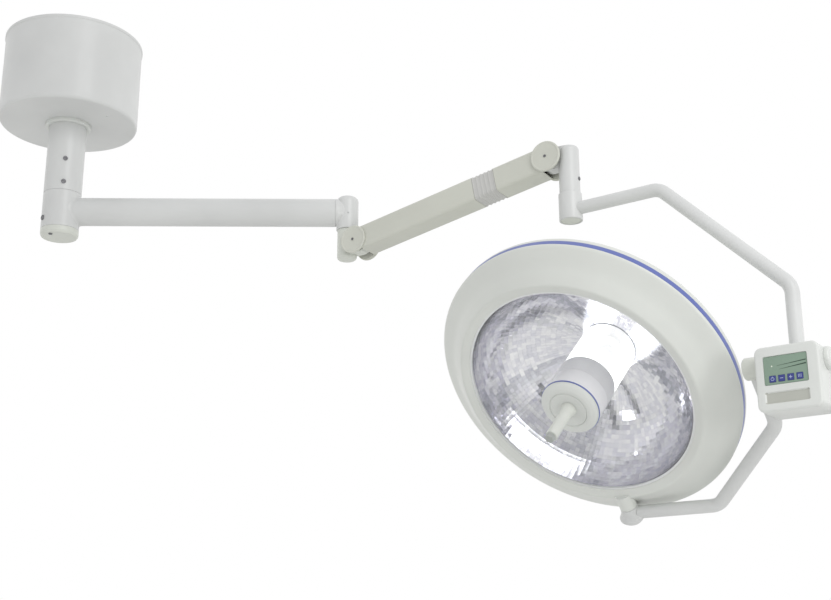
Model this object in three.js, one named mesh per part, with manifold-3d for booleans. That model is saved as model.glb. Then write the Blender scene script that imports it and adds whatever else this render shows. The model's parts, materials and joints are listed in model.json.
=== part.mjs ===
// Ceiling-mounted operating light: canopy and drop column, a horizontal arm, a balanced spring arm,
// a drop post with an outer yoke and control box, an inner yoke, and one large reflector head.
// Millimetres. The origin is the centre of the ceiling flange's top face; +Z is up; +X runs along
// the horizontal arm. Groups are nested as the joints are, in the pose the light is stored in.
import * as THREE from "three";
import { mergeVertices } from "three/addons/utils/BufferGeometryUtils.js";
import Module from "manifold-3d";

const wasm = await Module();
wasm.setup();

// ---- driving dimensions (mm, degrees) ----
const GAP = 0.3; // clearance between separate pieces
const ARM_DROP = 470; // ceiling to horizontal arm axis
const COLUMN_R = 47.5;
const COLUMN_WALL = 5;
const SEAM_UP = 46; // arm axis up to the rotating seam under the column
const FLANGE_R = 140;
const FLANGE_T = 12;
const ANCHOR_PCR = 115;
const ANCHOR_R = 6;
const CANOPY_R = 175;
const CANOPY_H = 230;
const CANOPY_WALL = 2.5;
const COLLAR_R = 58;
const SPINDLE_R = 22;
const HUB_BOTTOM = -51; // arm axis down to the end cap seam
const ARM_R = 36;
const ARM_WALL = 3;
const ARM_LENGTH = 732; // column axis to swivel hub axis
const END_HUB_R = 28;
const SWIVEL_AZ = -33.74; // spring arm direction seen from above
const HINGE_OFFSET = 43; // vertical axis to hinge axis at both ends of the spring arm
const HINGE_DROP = -90; // arm axis down to the lower hinge
const SPRING_PITCH = 10.2; // spring arm slope above horizontal
const SPRING_LENGTH = 551; // hinge to hinge
const CASING_HALF_W = 32;
const CASING_HALF_H = 31;
const CASING_WALL = 3;
const COVER_R = 36;
const COVER_FACE = 38;
const PIN_R = 8;
const TONGUE_HALF = 15;
const TIE_OFFSET = 23;
const TIE_R = 3.5;
const POST_R = 24;
const POST_TOP = 32;
const POST_SEAM = -85;
const SLEEVE_R = 27;
const SLEEVE_BOTTOM = -150;
const YOKE_AZ = -36.45;
const TUBE_R = 15;
const TUBE_WALL = 2.5;
const OUTER_Z = -123; // horizontal run of the outer yoke below the arm axis
const OUTER_U1 = 219;
const OUTER_U2 = 490;
const BEND_R = 42;
const GIMBAL_Z = -553; // the two head axes cross here, below the arm axis
const BOX_U = [418, 546];
const BOX_Z = [-103, 27]; // relative to the gimbal axis
const BOX_HALF_D = 45;
const STUB_R = 23;
const STUB_END = 379;
const INNER_TURN = -45; // inner yoke turned about the box axis
const INNER_A = [400, 210];
const INNER_B = [140, 330];
const HEAD_TILT = 4;
const HEAD_R = 350;
const OPEN_R = 262;
const BEZEL_BACK = 47;
const BAND_BACK = 60;
const HEAD_BACK = 222;
const BOWL_DEPTH = 190;
const HUB_R = 66;
const FILTER_R = 64;
const KEY_SIZE = 13;
const KEY_PITCH = 18;

const rad = THREE.MathUtils.degToRad;

// ---- solids ----
function signedVolume(positions, index) {
  let volume = 0;
  const at = (i) => new THREE.Vector3().fromArray(positions, 3 * i);
  for (let i = 0; i < index.length; i += 3) {
    volume += at(index[i]).dot(at(index[i + 1]).cross(at(index[i + 2]))) / 6;
  }
  return volume;
}

function solid(geometry) {
  const bare = geometry.clone();
  bare.deleteAttribute("normal");
  bare.deleteAttribute("uv");
  const merged = mergeVertices(bare, 1e-4);
  const positions = merged.attributes.position.array;
  const index = new Uint32Array(merged.index.array);
  if (signedVolume(positions, index) < 0) {
    for (let i = 0; i < index.length; i += 3) {
      [index[i + 1], index[i + 2]] = [index[i + 2], index[i + 1]];
    }
  }
  return new wasm.Manifold(new wasm.Mesh({ numProp: 3, vertProperties: positions, triVerts: index }));
}

// Facets round a turned piece of the given radius.
function facets(r) {
  const steps = [[4, 8], [9, 14], [16, 16], [30, 20], [100, 24]];
  const found = steps.find(([limit]) => r < limit);
  return found ? found[1] : 28;
}

// A closed [radius, height] outline turned about the z axis.
function turned(outline, segments = facets(Math.max(...outline.map(([r]) => r)))) {
  const points = [...outline, outline[0]].map(([r, z]) => new THREE.Vector2(r, z));
  return solid(new THREE.LatheGeometry(points, segments).rotateX(Math.PI / 2));
}

const rod = (r, z0, z1, segments = facets(r)) => turned([[0, z0], [r, z0], [r, z1], [0, z1]], segments);
const ring = (r0, r1, z0, z1, segments = facets(r1)) =>
  turned([[r0, z0], [r1, z0], [r1, z1], [r0, z1]], segments);
const hexRod = (r, z0, z1) => rod(r, z0, z1, 6);

function box(x0, x1, y0, y1, z0, z1) {
  const g = new THREE.BoxGeometry(x1 - x0, y1 - y0, z1 - z0);
  return solid(g.translate((x0 + x1) / 2, (y0 + y1) / 2, (z0 + z1) / 2));
}

const along = {
  x: (s) => s.rotate([0, 90, 0]),
  y: (s) => s.rotate([-90, 0, 0]),
};

function roundedRect(halfW, halfH, r) {
  const s = new THREE.Shape();
  s.moveTo(-halfW + r, -halfH);
  s.lineTo(halfW - r, -halfH);
  s.absarc(halfW - r, -halfH + r, r, -Math.PI / 2, 0);
  s.lineTo(halfW, halfH - r);
  s.absarc(halfW - r, halfH - r, r, 0, Math.PI / 2);
  s.lineTo(-halfW + r, halfH);
  s.absarc(-halfW + r, halfH - r, r, Math.PI / 2, Math.PI);
  s.lineTo(-halfW, -halfH + r);
  s.absarc(-halfW + r, -halfH + r, r, Math.PI, 1.5 * Math.PI);
  return s;
}

// A rounded-rectangle bar along x: halfW lies along y and halfH along z.
function bar(x0, x1, halfW, halfH, r, curveSegments = 2) {
  const shape = roundedRect(halfH, halfW, r);
  const g = new THREE.ExtrudeGeometry(shape, { depth: x1 - x0, bevelEnabled: false, curveSegments });
  return along.x(solid(g)).translate([x0, 0, 0]);
}

// A path through given points, used as it is, so that every point becomes one ring of a sweep.
class PointPath extends THREE.Curve {
  constructor(points) {
    super();
    this.points = points;
  }
  getPoint(t, target = new THREE.Vector3()) {
    const s = t * (this.points.length - 1);
    const i = Math.min(Math.floor(s + 1e-9), this.points.length - 2);
    return target.copy(this.points[i]).lerp(this.points[i + 1], s - i);
  }
  getPointAt(t, target) {
    return this.getPoint(t, target);
  }
  getTangentAt(t, target = new THREE.Vector3()) {
    const i = Math.round(t * (this.points.length - 1));
    const last = this.points.length - 1;
    const ahead = this.points[Math.min(i + 1, last)];
    const behind = this.points[Math.max(i - 1, 0)];
    return target.copy(ahead).sub(behind).normalize();
  }
}

function sweep(points, r, sides) {
  const shape = new THREE.Shape();
  shape.absarc(0, 0, r, 0, 2 * Math.PI);
  const path = new PointPath(points);
  const options = { steps: points.length - 1, extrudePath: path, curveSegments: sides / 2 };
  return solid(new THREE.ExtrudeGeometry(shape, { ...options, bevelEnabled: false }));
}

// The corner points of a path with each inner corner replaced by an arc of points.
function bent(corners, radius, steps = 4) {
  const points = [corners[0].clone()];
  for (let i = 1; i < corners.length - 1; i += 1) {
    const before = corners[i - 1].clone().sub(corners[i]).normalize();
    const after = corners[i + 1].clone().sub(corners[i]).normalize();
    const half = before.angleTo(after) / 2;
    const centre = before.clone().add(after).normalize();
    centre.multiplyScalar(radius / Math.sin(half)).add(corners[i]);
    const start = corners[i].clone().addScaledVector(before, radius / Math.tan(half)).sub(centre);
    const end = corners[i].clone().addScaledVector(after, radius / Math.tan(half)).sub(centre);
    const axis = start.clone().cross(end).normalize();
    const turn = start.angleTo(end);
    for (let k = 0; k <= steps; k += 1) {
      points.push(start.clone().applyAxisAngle(axis, (turn * k) / steps).add(centre));
    }
  }
  points.push(corners[corners.length - 1].clone());
  return points;
}

const v = (x, y, z) => new THREE.Vector3(x, y, z);

// ---- materials ----
const material = (color, roughness, metalness) =>
  new THREE.MeshStandardMaterial({ color, roughness, metalness });
const ENAMEL = material(0xdcdedb, 0.35, 0.0);
const IVORY = material(0xd3d4cc, 0.42, 0.0);
const PLASTIC = material(0xe4e6e4, 0.45, 0.0);
const BLUE = material(0x4b58a8, 0.4, 0.0);
const KEY_BLUE = material(0x2b3580, 0.5, 0.0);
const STEEL = material(0xb4b6ba, 0.3, 1.0);
const DARK_STEEL = material(0x6a6c70, 0.4, 1.0);
const BRONZE = material(0x9a8250, 0.4, 1.0);
const MIRROR = material(0xdfe0ea, 0.08, 1.0);
const GLASS = material(0xe8f0f2, 0.05, 0.0);
const WINDOW = material(0x93a399, 0.25, 0.0);

function piece(parent, name, shape, look) {
  const mesh = shape.getMesh();
  const g = new THREE.BufferGeometry();
  g.setAttribute("position", new THREE.BufferAttribute(new Float32Array(mesh.vertProperties), 3));
  g.setIndex(new THREE.BufferAttribute(new Uint32Array(mesh.triVerts), 1));
  g.computeVertexNormals();
  const made = new THREE.Mesh(g, look);
  made.name = name;
  parent.add(made);
  return made;
}

function frame(parent, x, y, z, rx = 0, ry = 0, rz = 0) {
  const g = new THREE.Group();
  g.position.set(x, y, z);
  g.rotation.set(rad(rx), rad(ry), rad(rz));
  parent.add(g);
  return g;
}

const SLOT_W = 1.2; // screwdriver slot in the larger screw heads
const SLOT_CUT = 0.8;

// A screw whose head sits on the surface at radius `out` from the z axis, pointing inwards.
function radialScrew(azimuth, z, out, depth, shankR, headR, headH) {
  const top = out + GAP + headH;
  const shank = rod(shankR, out - depth, out + GAP + headH / 2);
  const head = rod(headR, out + GAP, top);
  const slot = box(-headR, headR, -SLOT_W / 2, SLOT_W / 2, top - SLOT_CUT, top + 1);
  return along.x(shank.add(head).subtract(slot)).rotate([0, 0, azimuth]).translate([0, 0, z]);
}

const radialHole = (azimuth, z, r, from, to) =>
  along.x(rod(r, from, to)).rotate([0, 0, azimuth]).translate([0, 0, z]);

const light = new THREE.Group();
light.name = "operating_light";

// ---- ceiling canopy, flange and column ----
const SCREW_AZ = -75; // the side of the column with the two clamp screws
const SCREW_UP = [129, 66]; // clamp screws above the arm axis
const PLUG_TOP = 148; // top of the spindle's plug above the arm axis
const clampHoles = (r, from, to) =>
  radialHole(SCREW_AZ, SCREW_UP[0], r, from, to).add(radialHole(SCREW_AZ, SCREW_UP[1], r, from, to));
const CLAMP_DEPTH = 20;
const CLAMP_R = 4;

const FLANGE_BOSS = 20; // solid top of the column under the ceiling face
const CABLE_HOLE_R = 12;
const CABLE_HOLE_X = 22;

const base = frame(light, 0, 0, 0);
const columnEnd = SEAM_UP - ARM_DROP;
let column = rod(FLANGE_R, -FLANGE_T, 0).add(rod(COLUMN_R, columnEnd, -FLANGE_T / 2));
column = column.subtract(rod(COLUMN_R - COLUMN_WALL, columnEnd - 1, -FLANGE_BOSS));
column = column.subtract(rod(CABLE_HOLE_R, -FLANGE_BOSS - 2, 1).translate([CABLE_HOLE_X, 0, 0]));
column = column.subtract(clampHoles(CLAMP_R + GAP, 30, 60).translate([0, 0, -ARM_DROP]));
const HEX_R = 11;
const ANCHOR_HEAD = 8;
const ANCHOR_SLACK = 0.5; // between a bolt and its hole in the flange
for (let i = 0; i < 4; i += 1) {
  const at = [ANCHOR_PCR * Math.cos(rad(45 + 90 * i)), ANCHOR_PCR * Math.sin(rad(45 + 90 * i)), 0];
  column = column.subtract(rod(ANCHOR_R + ANCHOR_SLACK, -FLANGE_T - 1, 1).translate(at));
  const low = -FLANGE_T - GAP;
  const bolt = rod(ANCHOR_R, low - 1, 0).add(hexRod(HEX_R, low - ANCHOR_HEAD, low)).translate(at);
  piece(base, `anchor_bolt_${i + 1}`, bolt, STEEL);
}
piece(base, "column_tube", column, ENAMEL);

const CANOPY_TOP = -1; // a hair under the ceiling
const canopyOutline = [
  [CANOPY_R - CANOPY_WALL, CANOPY_TOP],
  [CANOPY_R - CANOPY_WALL, -CANOPY_H + 6],
  [CANOPY_R - 6, -CANOPY_H + CANOPY_WALL],
  [COLLAR_R - 4, -CANOPY_H + CANOPY_WALL],
  [COLLAR_R - 4, -CANOPY_H],
  [CANOPY_R - 4, -CANOPY_H],
  [CANOPY_R, -CANOPY_H + 5],
  [CANOPY_R, -7],
  [CANOPY_R + 2, -7],
  [CANOPY_R + 2, CANOPY_TOP],
];
piece(base, "ceiling_canopy", turned(canopyOutline), ENAMEL);
const collarTop = -CANOPY_H - GAP;
const COLLAR_T = 9;
const collar = turned(
  [
    [COLUMN_R + GAP, collarTop],
    [COLUMN_R + GAP, collarTop - COLLAR_T],
    [COLLAR_R - 2, collarTop - COLLAR_T],
    [COLLAR_R, collarTop - COLLAR_T + 2],
    [COLLAR_R, collarTop],
  ],
);
piece(base, "canopy_collar", collar, PLASTIC);

const arms = frame(base, 0, 0, -ARM_DROP);
const clamp = (z) => radialScrew(SCREW_AZ, z, COLUMN_R, CLAMP_DEPTH, CLAMP_R, 6, 2.5);
piece(arms, "column_screw_upper", clamp(SCREW_UP[0]), STEEL);
piece(arms, "column_screw_lower", clamp(SCREW_UP[1]), STEEL);
const SPINDLE_BOTTOM = HUB_BOTTOM + 4;
const SPINDLE_BORE = 9;
let spindle = rod(COLUMN_R - COLUMN_WALL - GAP, SEAM_UP, PLUG_TOP).add(
  rod(SPINDLE_R, SPINDLE_BOTTOM, SEAM_UP + 1),
);
spindle = spindle.subtract(rod(SPINDLE_BORE, SPINDLE_BOTTOM - 1, PLUG_TOP + 1));
spindle = spindle.subtract(clampHoles(CLAMP_R + GAP, COLUMN_R - CLAMP_DEPTH - 2, 60));
piece(arms, "main_spindle", spindle, STEEL);

// ---- horizontal arm ----
const arm = frame(arms, 0, 0, 0);
const BEARING_R = 34;
const BEARING_Z = [-10, 36];
const BRAKE_AZ = 220;
const BRAKE_Z = -27;
let hub = turned(
  [
    [SPINDLE_R + 1, SEAM_UP - GAP],
    [SPINDLE_R + 1, BEARING_Z[1] + GAP],
    [BEARING_R + GAP, BEARING_Z[1] + GAP],
    [BEARING_R + GAP, HUB_BOTTOM],
    [COLUMN_R, HUB_BOTTOM],
    [COLUMN_R, SEAM_UP - GAP],
  ],
);
hub = hub.subtract(radialHole(BRAKE_AZ, BRAKE_Z, CLAMP_R + GAP, 20, 60));
piece(arm, "arm_hub", hub, ENAMEL);
piece(arm, "hub_bearing", ring(SPINDLE_R + GAP, BEARING_R, BEARING_Z[0], BEARING_Z[1]), BRONZE);
piece(arm, "brake_screw", radialScrew(BRAKE_AZ, BRAKE_Z, COLUMN_R, 24, CLAMP_R, 6.5, 3), STEEL);
const CAP_BOTTOM = HUB_BOTTOM - 19;
const CAP_SCREW = [-14, -30];
const CAP_SCREW_R = 2.5;
const CAP_HEAD_R = 5;
const CAP_HEAD_H = 2;
let endCap = turned(
  [
    [0, HUB_BOTTOM - GAP - 5],
    [COLUMN_R - 5, HUB_BOTTOM - GAP - 5],
    [COLUMN_R - 5, HUB_BOTTOM - GAP],
    [COLUMN_R, HUB_BOTTOM - GAP],
    [COLUMN_R, CAP_BOTTOM + 5],
    [COLUMN_R - 1.5, CAP_BOTTOM + 1.5],
    [COLUMN_R - 5, CAP_BOTTOM],
    [0, CAP_BOTTOM],
  ],
);
endCap = endCap.subtract(rod(CAP_SCREW_R + GAP, CAP_BOTTOM - 1, HUB_BOTTOM).translate([...CAP_SCREW, 0]));
piece(arm, "hub_end_cap", endCap, ENAMEL);
const capHeadTop = CAP_BOTTOM - GAP;
const capHeadFace = capHeadTop - CAP_HEAD_H;
const capScrew = rod(CAP_SCREW_R, CAP_BOTTOM - 1, HUB_BOTTOM - 6)
  .add(rod(CAP_HEAD_R, capHeadFace, capHeadTop))
  .subtract(box(-CAP_HEAD_R, CAP_HEAD_R, -SLOT_W / 2, SLOT_W / 2, capHeadFace - 1, capHeadFace + SLOT_CUT));
piece(arm, "hub_cap_screw", capScrew.translate([...CAP_SCREW, 0]), STEEL);

const TUBE_END = ARM_LENGTH - END_HUB_R - 2;
let armTube = along.x(rod(ARM_R, 20, TUBE_END));
armTube = armTube.subtract(along.x(rod(ARM_R - ARM_WALL, 10, TUBE_END + 1)));
armTube = armTube.subtract(rod(COLUMN_R + GAP, -60, 60));
piece(arm, "arm_tube", armTube, ENAMEL);

const HUB2_Z = [-48, 43];
const SWIVEL_R = 20;
const swivelHub = frame(arm, ARM_LENGTH, 0, 0);
let endHub = turned(
  [
    [0, HUB2_Z[0]],
    [END_HUB_R, HUB2_Z[0]],
    [END_HUB_R, HUB2_Z[1] - 8],
    [END_HUB_R - 2, HUB2_Z[1] - 4],
    [END_HUB_R - 6, HUB2_Z[1] - 1.5],
    [END_HUB_R - 14, HUB2_Z[1]],
    [0, HUB2_Z[1]],
  ],
);
const socketStart = TUBE_END - ARM_LENGTH;
const PLUG_LENGTH = 22; // the part of the end hub that plugs into the tube
const socket = turned(
  [
    [0, socketStart - PLUG_LENGTH],
    [ARM_R - ARM_WALL - GAP, socketStart - PLUG_LENGTH],
    [ARM_R - ARM_WALL - GAP, socketStart + GAP],
    [ARM_R, socketStart + GAP],
    [ARM_R - 1, socketStart + 8],
    [ARM_R - 9, 0],
    [0, 0],
  ],
);
endHub = endHub.add(along.x(socket));
const STUB_TOP = 20; // top of the knuckle's spigot in the end hub
endHub = endHub.subtract(rod(SWIVEL_R + GAP, HUB2_Z[0] - 1, STUB_TOP + 4));
piece(swivelHub, "end_hub", endHub, ENAMEL);

// ---- lower knuckle: turns about the vertical axis at the end of the horizontal arm ----
const swivel = frame(swivelHub, 0, 0, 0, 0, 0, SWIVEL_AZ);
const KNUCKLE_R = 25;
const KNUCKLE_BOTTOM = -128;
const TONGUE_R = 27;
const SLOT_HALF = 4.5;
const SLOT_REACH = 40;
const SLOT_DEEP = -16;
const NOSE_START = 3;
const TIE_EYE_R = 6;
const TIE_EYE_HALF = 4;
const TIE_PIN_R = 3;
const TIE_PIN_HALF = 9;

// The tongue of a hinge at the origin, reaching to x = reach, with the slot for the levelling rod.
function tongue(reach) {
  const sign = Math.sign(reach);
  let t = along.y(rod(TONGUE_R, -TONGUE_HALF, TONGUE_HALF));
  const x0 = Math.min(0, reach);
  const x1 = Math.max(0, reach);
  t = t.add(box(x0, x1, -TONGUE_HALF, TONGUE_HALF, -TONGUE_R, TONGUE_R - 1));
  t = t.add(along.y(rod(TIE_EYE_R + 4, -TONGUE_HALF, TONGUE_HALF)).translate([0, 0, TIE_OFFSET]));
  t = t.subtract(along.y(rod(PIN_R + GAP, -40, 40)));
  const slot = (from, to, low) =>
    box(Math.min(from, to), Math.max(from, to), -SLOT_HALF, SLOT_HALF, low, TIE_OFFSET + 20);
  t = t.subtract(slot(-sign * SLOT_REACH, sign * (TIE_EYE_R + 6), TIE_OFFSET - TIE_EYE_R - 5));
  // The slot runs deep on the arm's side of the hinge, where the rod swings down past the tongue's nose.
  t = t.subtract(slot(-sign * SLOT_REACH, -sign * NOSE_START, SLOT_DEEP));
  const pinHole = along.y(rod(TIE_PIN_R + GAP, -TIE_PIN_HALF - 1, TIE_PIN_HALF + 1));
  return t.subtract(pinHole.translate([0, 0, TIE_OFFSET]));
}

let knuckle = turned(
  [
    [0, KNUCKLE_BOTTOM],
    [KNUCKLE_R - 5, KNUCKLE_BOTTOM],
    [KNUCKLE_R, KNUCKLE_BOTTOM + 5],
    [KNUCKLE_R, HUB2_Z[0] - GAP],
    [SWIVEL_R, HUB2_Z[0] - GAP],
    [SWIVEL_R, STUB_TOP],
    [0, STUB_TOP],
  ],
);
knuckle = knuckle.add(tongue(-HINGE_OFFSET + 5).translate([HINGE_OFFSET, 0, HINGE_DROP]));
piece(swivel, "lower_knuckle", knuckle, IVORY);
const lowerHinge = frame(swivel, HINGE_OFFSET, 0, HINGE_DROP);
const PIN_HALF = 26; // half the length of a hinge pin
piece(lowerHinge, "lower_hinge_pin", along.y(rod(PIN_R, -PIN_HALF, PIN_HALF)), STEEL);

// ---- spring arm ----
const spring = frame(lowerHinge, 0, 0, 0, 0, -SPRING_PITCH, 0);
const CHEEK = [16, 21];
const CHEEK_Z = [-19, 10];
const CHEEK_END = 30; // where the cheek plates narrow towards the hinges
const EYE_R = 16;
const plate = (x0, x1, z0, z1, side) =>
  box(x0, x1, Math.min(side * CHEEK[0], side * CHEEK[1]), Math.max(side * CHEEK[0], side * CHEEK[1]), z0, z1);
const eyeOf = (x, side) =>
  along.y(rod(EYE_R, CHEEK[0], CHEEK[1])).translate([x, side < 0 ? -CHEEK[0] - CHEEK[1] : 0, 0]);
const FLOOR_END = 44;
const FLOOR_T = 4;
const frameSlab = (x0, x1, z0, z1) => box(x0, x1, -CHEEK[0] - 1, CHEEK[0] + 1, z0, z1);
const floorTop = CHEEK_Z[0] + FLOOR_T;
let armFrame = frameSlab(FLOOR_END, SPRING_LENGTH - FLOOR_END, CHEEK_Z[0], floorTop);
for (const side of [-1, 1]) {
  armFrame = armFrame.add(plate(CHEEK_END, SPRING_LENGTH - CHEEK_END, CHEEK_Z[0], CHEEK_Z[1], side));
  armFrame = armFrame.add(plate(0, CHEEK_END + 1, CHEEK_Z[0] + 5, CHEEK_Z[1], side));
  const endX = SPRING_LENGTH - CHEEK_END - 1;
  armFrame = armFrame.add(plate(endX, SPRING_LENGTH, CHEEK_Z[0] + 5, CHEEK_Z[1], side));
  armFrame = armFrame.add(eyeOf(0, side)).add(eyeOf(SPRING_LENGTH, side));
}
const STOP_X = [86, 92];
const ADJUST_X = [330, 336];
for (const [x0, x1] of [STOP_X, ADJUST_X]) {
  armFrame = armFrame.add(frameSlab(x0, x1, CHEEK_Z[0] + 1, CHEEK_Z[1]));
}
const pinHoles = along.y(rod(PIN_R + GAP, -40, 40));
armFrame = armFrame.subtract(pinHoles).subtract(pinHoles.translate([SPRING_LENGTH, 0, 0]));
const SPRING_Z = -2;
const ADJUST_R = 5;
const adjustHole = along.x(rod(ADJUST_R + GAP, ADJUST_X[0] - 1, ADJUST_X[1] + 1));
armFrame = armFrame.subtract(adjustHole.translate([0, 0, SPRING_Z]));
piece(spring, "arm_frame", armFrame, DARK_STEEL);

const COIL_R = 9.5;
const WIRE_R = 2;
const COIL_TURNS = 11;
const COIL_STEPS = 6;
const COIL_END = 300; // the compressed spring's far end
const COIL_X = [STOP_X[1] + WIRE_R + GAP, COIL_END];
const coil = [];
for (let i = 0; i <= COIL_TURNS * COIL_STEPS; i += 1) {
  const t = i / (COIL_TURNS * COIL_STEPS);
  const angle = 2 * Math.PI * COIL_TURNS * t;
  const x = COIL_X[0] + t * (COIL_X[1] - COIL_X[0]);
  coil.push(v(x, COIL_R * Math.cos(angle), SPRING_Z + COIL_R * Math.sin(angle)));
}
piece(spring, "balance_spring", sweep(coil, WIRE_R, 6), STEEL);
const seatX = COIL_X[1] + WIRE_R + GAP;
const SEAT_R = 12;
const ADJUST_NUT_R = 9;
const adjuster = rod(SEAT_R, seatX, seatX + 4)
  .add(rod(ADJUST_R, seatX + 2, ADJUST_X[1] + 14))
  .add(hexRod(ADJUST_NUT_R, ADJUST_X[1] + GAP, ADJUST_X[1] + 8));
piece(spring, "spring_adjuster", along.x(adjuster).translate([0, 0, SPRING_Z]), BRONZE);

const SLEEVE_X = [352, 412];
const CASING_CORNER = 10;
const hollow = (x0, x1) =>
  bar(x0 - 1, x1 + 1, CASING_HALF_W - CASING_WALL, CASING_HALF_H - CASING_WALL, CASING_CORNER - 3, 1);
const shell = (x0, x1, grow = 0, corner = 2) =>
  bar(x0, x1, CASING_HALF_W + grow, CASING_HALF_H + grow, CASING_CORNER, corner).subtract(hollow(x0, x1));
const CASING_START = 18;
const sideDisc = (x, r, side) => {
  const low = side < 0 ? -CASING_HALF_W : CASING_HALF_W - CASING_WALL - 1;
  const high = side < 0 ? -CASING_HALF_W + CASING_WALL + 1 : CASING_HALF_W;
  return along.y(rod(r, low, high)).translate([x, 0, 0]);
};
const REAR_FACE = 36;
// The rear disc is part of the casing; the front disc is a separate cover held by one screw.
const rearDisc = (x, r) => along.y(rod(r, CASING_HALF_W - 2, REAR_FACE)).translate([x, 0, 0]);
const COVER_SCREW_R = 2;
const screwHole = (x) => along.y(rod(COVER_SCREW_R + GAP, -40, -26)).translate([x, 0, 0]);
let casingLong = shell(CASING_START, SLEEVE_X[0] - GAP);
casingLong = casingLong.add(sideDisc(0, COVER_R - 2, -1)).add(sideDisc(0, COVER_R - 2, 1));
casingLong = casingLong.add(rearDisc(0, COVER_R)).subtract(screwHole(0));
piece(spring, "arm_casing_long", casingLong, IVORY);
const shortEnd = SPRING_LENGTH - CASING_START;
let casingShort = shell(SLEEVE_X[1] + GAP, shortEnd);
for (const side of [-1, 1]) {
  casingShort = casingShort.add(sideDisc(SPRING_LENGTH, COVER_R - 1, side));
}
casingShort = casingShort.add(rearDisc(SPRING_LENGTH, COVER_R + 1)).subtract(screwHole(SPRING_LENGTH));
piece(spring, "arm_casing_short", casingShort, IVORY);
let ribs = shell(SLEEVE_X[0], SLEEVE_X[1], -1.2, 1);
const RIB_COUNT = 6;
const RIB_W = 4;
const ribStep = (SLEEVE_X[1] - SLEEVE_X[0] - RIB_W) / (RIB_COUNT - 1);
for (let i = 0; i < RIB_COUNT; i += 1) {
  const x = SLEEVE_X[0] + ribStep * i;
  ribs = ribs.add(shell(x, x + RIB_W, 0, 1));
}
piece(spring, "ribbed_sleeve", ribs, IVORY);

const DISH = 0.8; // depth of the turned dish in each cover's face

function coverAt(x, r) {
  const outline = [
    [0, CASING_HALF_W + GAP],
    [r, CASING_HALF_W + GAP],
    [r, COVER_FACE - 1.5],
    [r - 1.5, COVER_FACE],
    [r - 4, COVER_FACE],
    [r - 5, COVER_FACE - DISH],
    [0, COVER_FACE - DISH],
  ];
  const disc = turned(outline).subtract(rod(COVER_SCREW_R + GAP, 0, 60));
  return along.y(disc.rotate([180, 0, 0])).translate([x, 0, 0]);
}
function coverScrew(x) {
  const face = -COVER_FACE + DISH - GAP;
  const COVER_HEAD_R = 3.6;
  const screw = rod(COVER_SCREW_R, face - 0.5, -27).add(rod(COVER_HEAD_R, face - 1.4, face));
  return along.y(screw.subtract(box(-4, 4, -0.4, 0.4, face - 2, face - 0.9))).translate([x, 0, 0]);
}
piece(spring, "lower_cover", coverAt(0, COVER_R), IVORY);
piece(spring, "lower_cover_screw", coverScrew(0), STEEL);
piece(spring, "upper_cover", coverAt(SPRING_LENGTH, COVER_R + 1), IVORY);
piece(spring, "upper_cover_screw", coverScrew(SPRING_LENGTH), STEEL);

// The levelling rod: parallel to the spring arm, pinned above both hinges.
const tie = frame(lowerHinge, 0, 0, TIE_OFFSET, 0, -SPRING_PITCH, 0);
let tieRod = along.x(rod(TIE_R, 0, SPRING_LENGTH));
for (const x of [0, SPRING_LENGTH]) {
  tieRod = tieRod.add(along.y(rod(TIE_EYE_R, -TIE_EYE_HALF, TIE_EYE_HALF)).translate([x, 0, 0]));
  tieRod = tieRod.add(along.y(rod(TIE_PIN_R, -TIE_PIN_HALF, TIE_PIN_HALF)).translate([x, 0, 0]));
}
piece(tie, "levelling_rod", tieRod, STEEL);

// ---- drop post: kept upright by the levelling rod ----
const upperHinge = frame(spring, SPRING_LENGTH, 0, 0, 0, SPRING_PITCH, 0);
piece(upperHinge, "upper_hinge_pin", along.y(rod(PIN_R, -PIN_HALF, PIN_HALF)), STEEL);
const hingeZ = HINGE_DROP + SPRING_LENGTH * Math.sin(rad(SPRING_PITCH));
const post = frame(upperHinge, HINGE_OFFSET, 0, -hingeZ);
const BORE_R = 15;
const BORE_TOP = -38;
const POST_SCREW_Z = -51;
const POST_SCREW_R = 3;
let postBody = turned(
  [
    [0, POST_TOP],
    [POST_R - 7, POST_TOP],
    [POST_R - 2, POST_TOP - 2],
    [POST_R, POST_TOP - 7],
    [POST_R, POST_SEAM],
    [0, POST_SEAM],
  ],
);
postBody = postBody.add(tongue(HINGE_OFFSET - 5).translate([-HINGE_OFFSET, 0, hingeZ]));
postBody = postBody.subtract(rod(BORE_R, POST_SEAM - 1, BORE_TOP));
postBody = postBody.subtract(radialHole(0, POST_SCREW_Z, POST_SCREW_R + GAP, 10, POST_R));
piece(post, "post_knuckle", postBody, ENAMEL);
piece(post, "post_screw", radialScrew(0, POST_SCREW_Z, POST_R, 8, POST_SCREW_R, 4.5, 2), STEEL);

// ---- outer yoke with the control box ----
const yoke = frame(post, 0, 0, 0, 0, 0, YOKE_AZ - SWIVEL_AZ);
const CAP_R = 23;
const SLEEVE_BORE = 20; // depth of the hollow in the sleeve's lower end
let sleeve = rod(SLEEVE_R, SLEEVE_BOTTOM, POST_SEAM - GAP);
sleeve = sleeve.add(rod(BORE_R - GAP, POST_SEAM - 5, BORE_TOP - 3));
sleeve = sleeve.subtract(rod(CAP_R + GAP, SLEEVE_BOTTOM - 1, SLEEVE_BOTTOM + SLEEVE_BORE));
piece(yoke, "yoke_sleeve", sleeve, ENAMEL);
const capBack = SLEEVE_BOTTOM + 5;
const endDisc = rod(CAP_R, SLEEVE_BOTTOM + 1, capBack).add(ring(16, 20, capBack - 1, capBack + 9));
piece(yoke, "yoke_end_cap", endDisc, IVORY);

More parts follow.
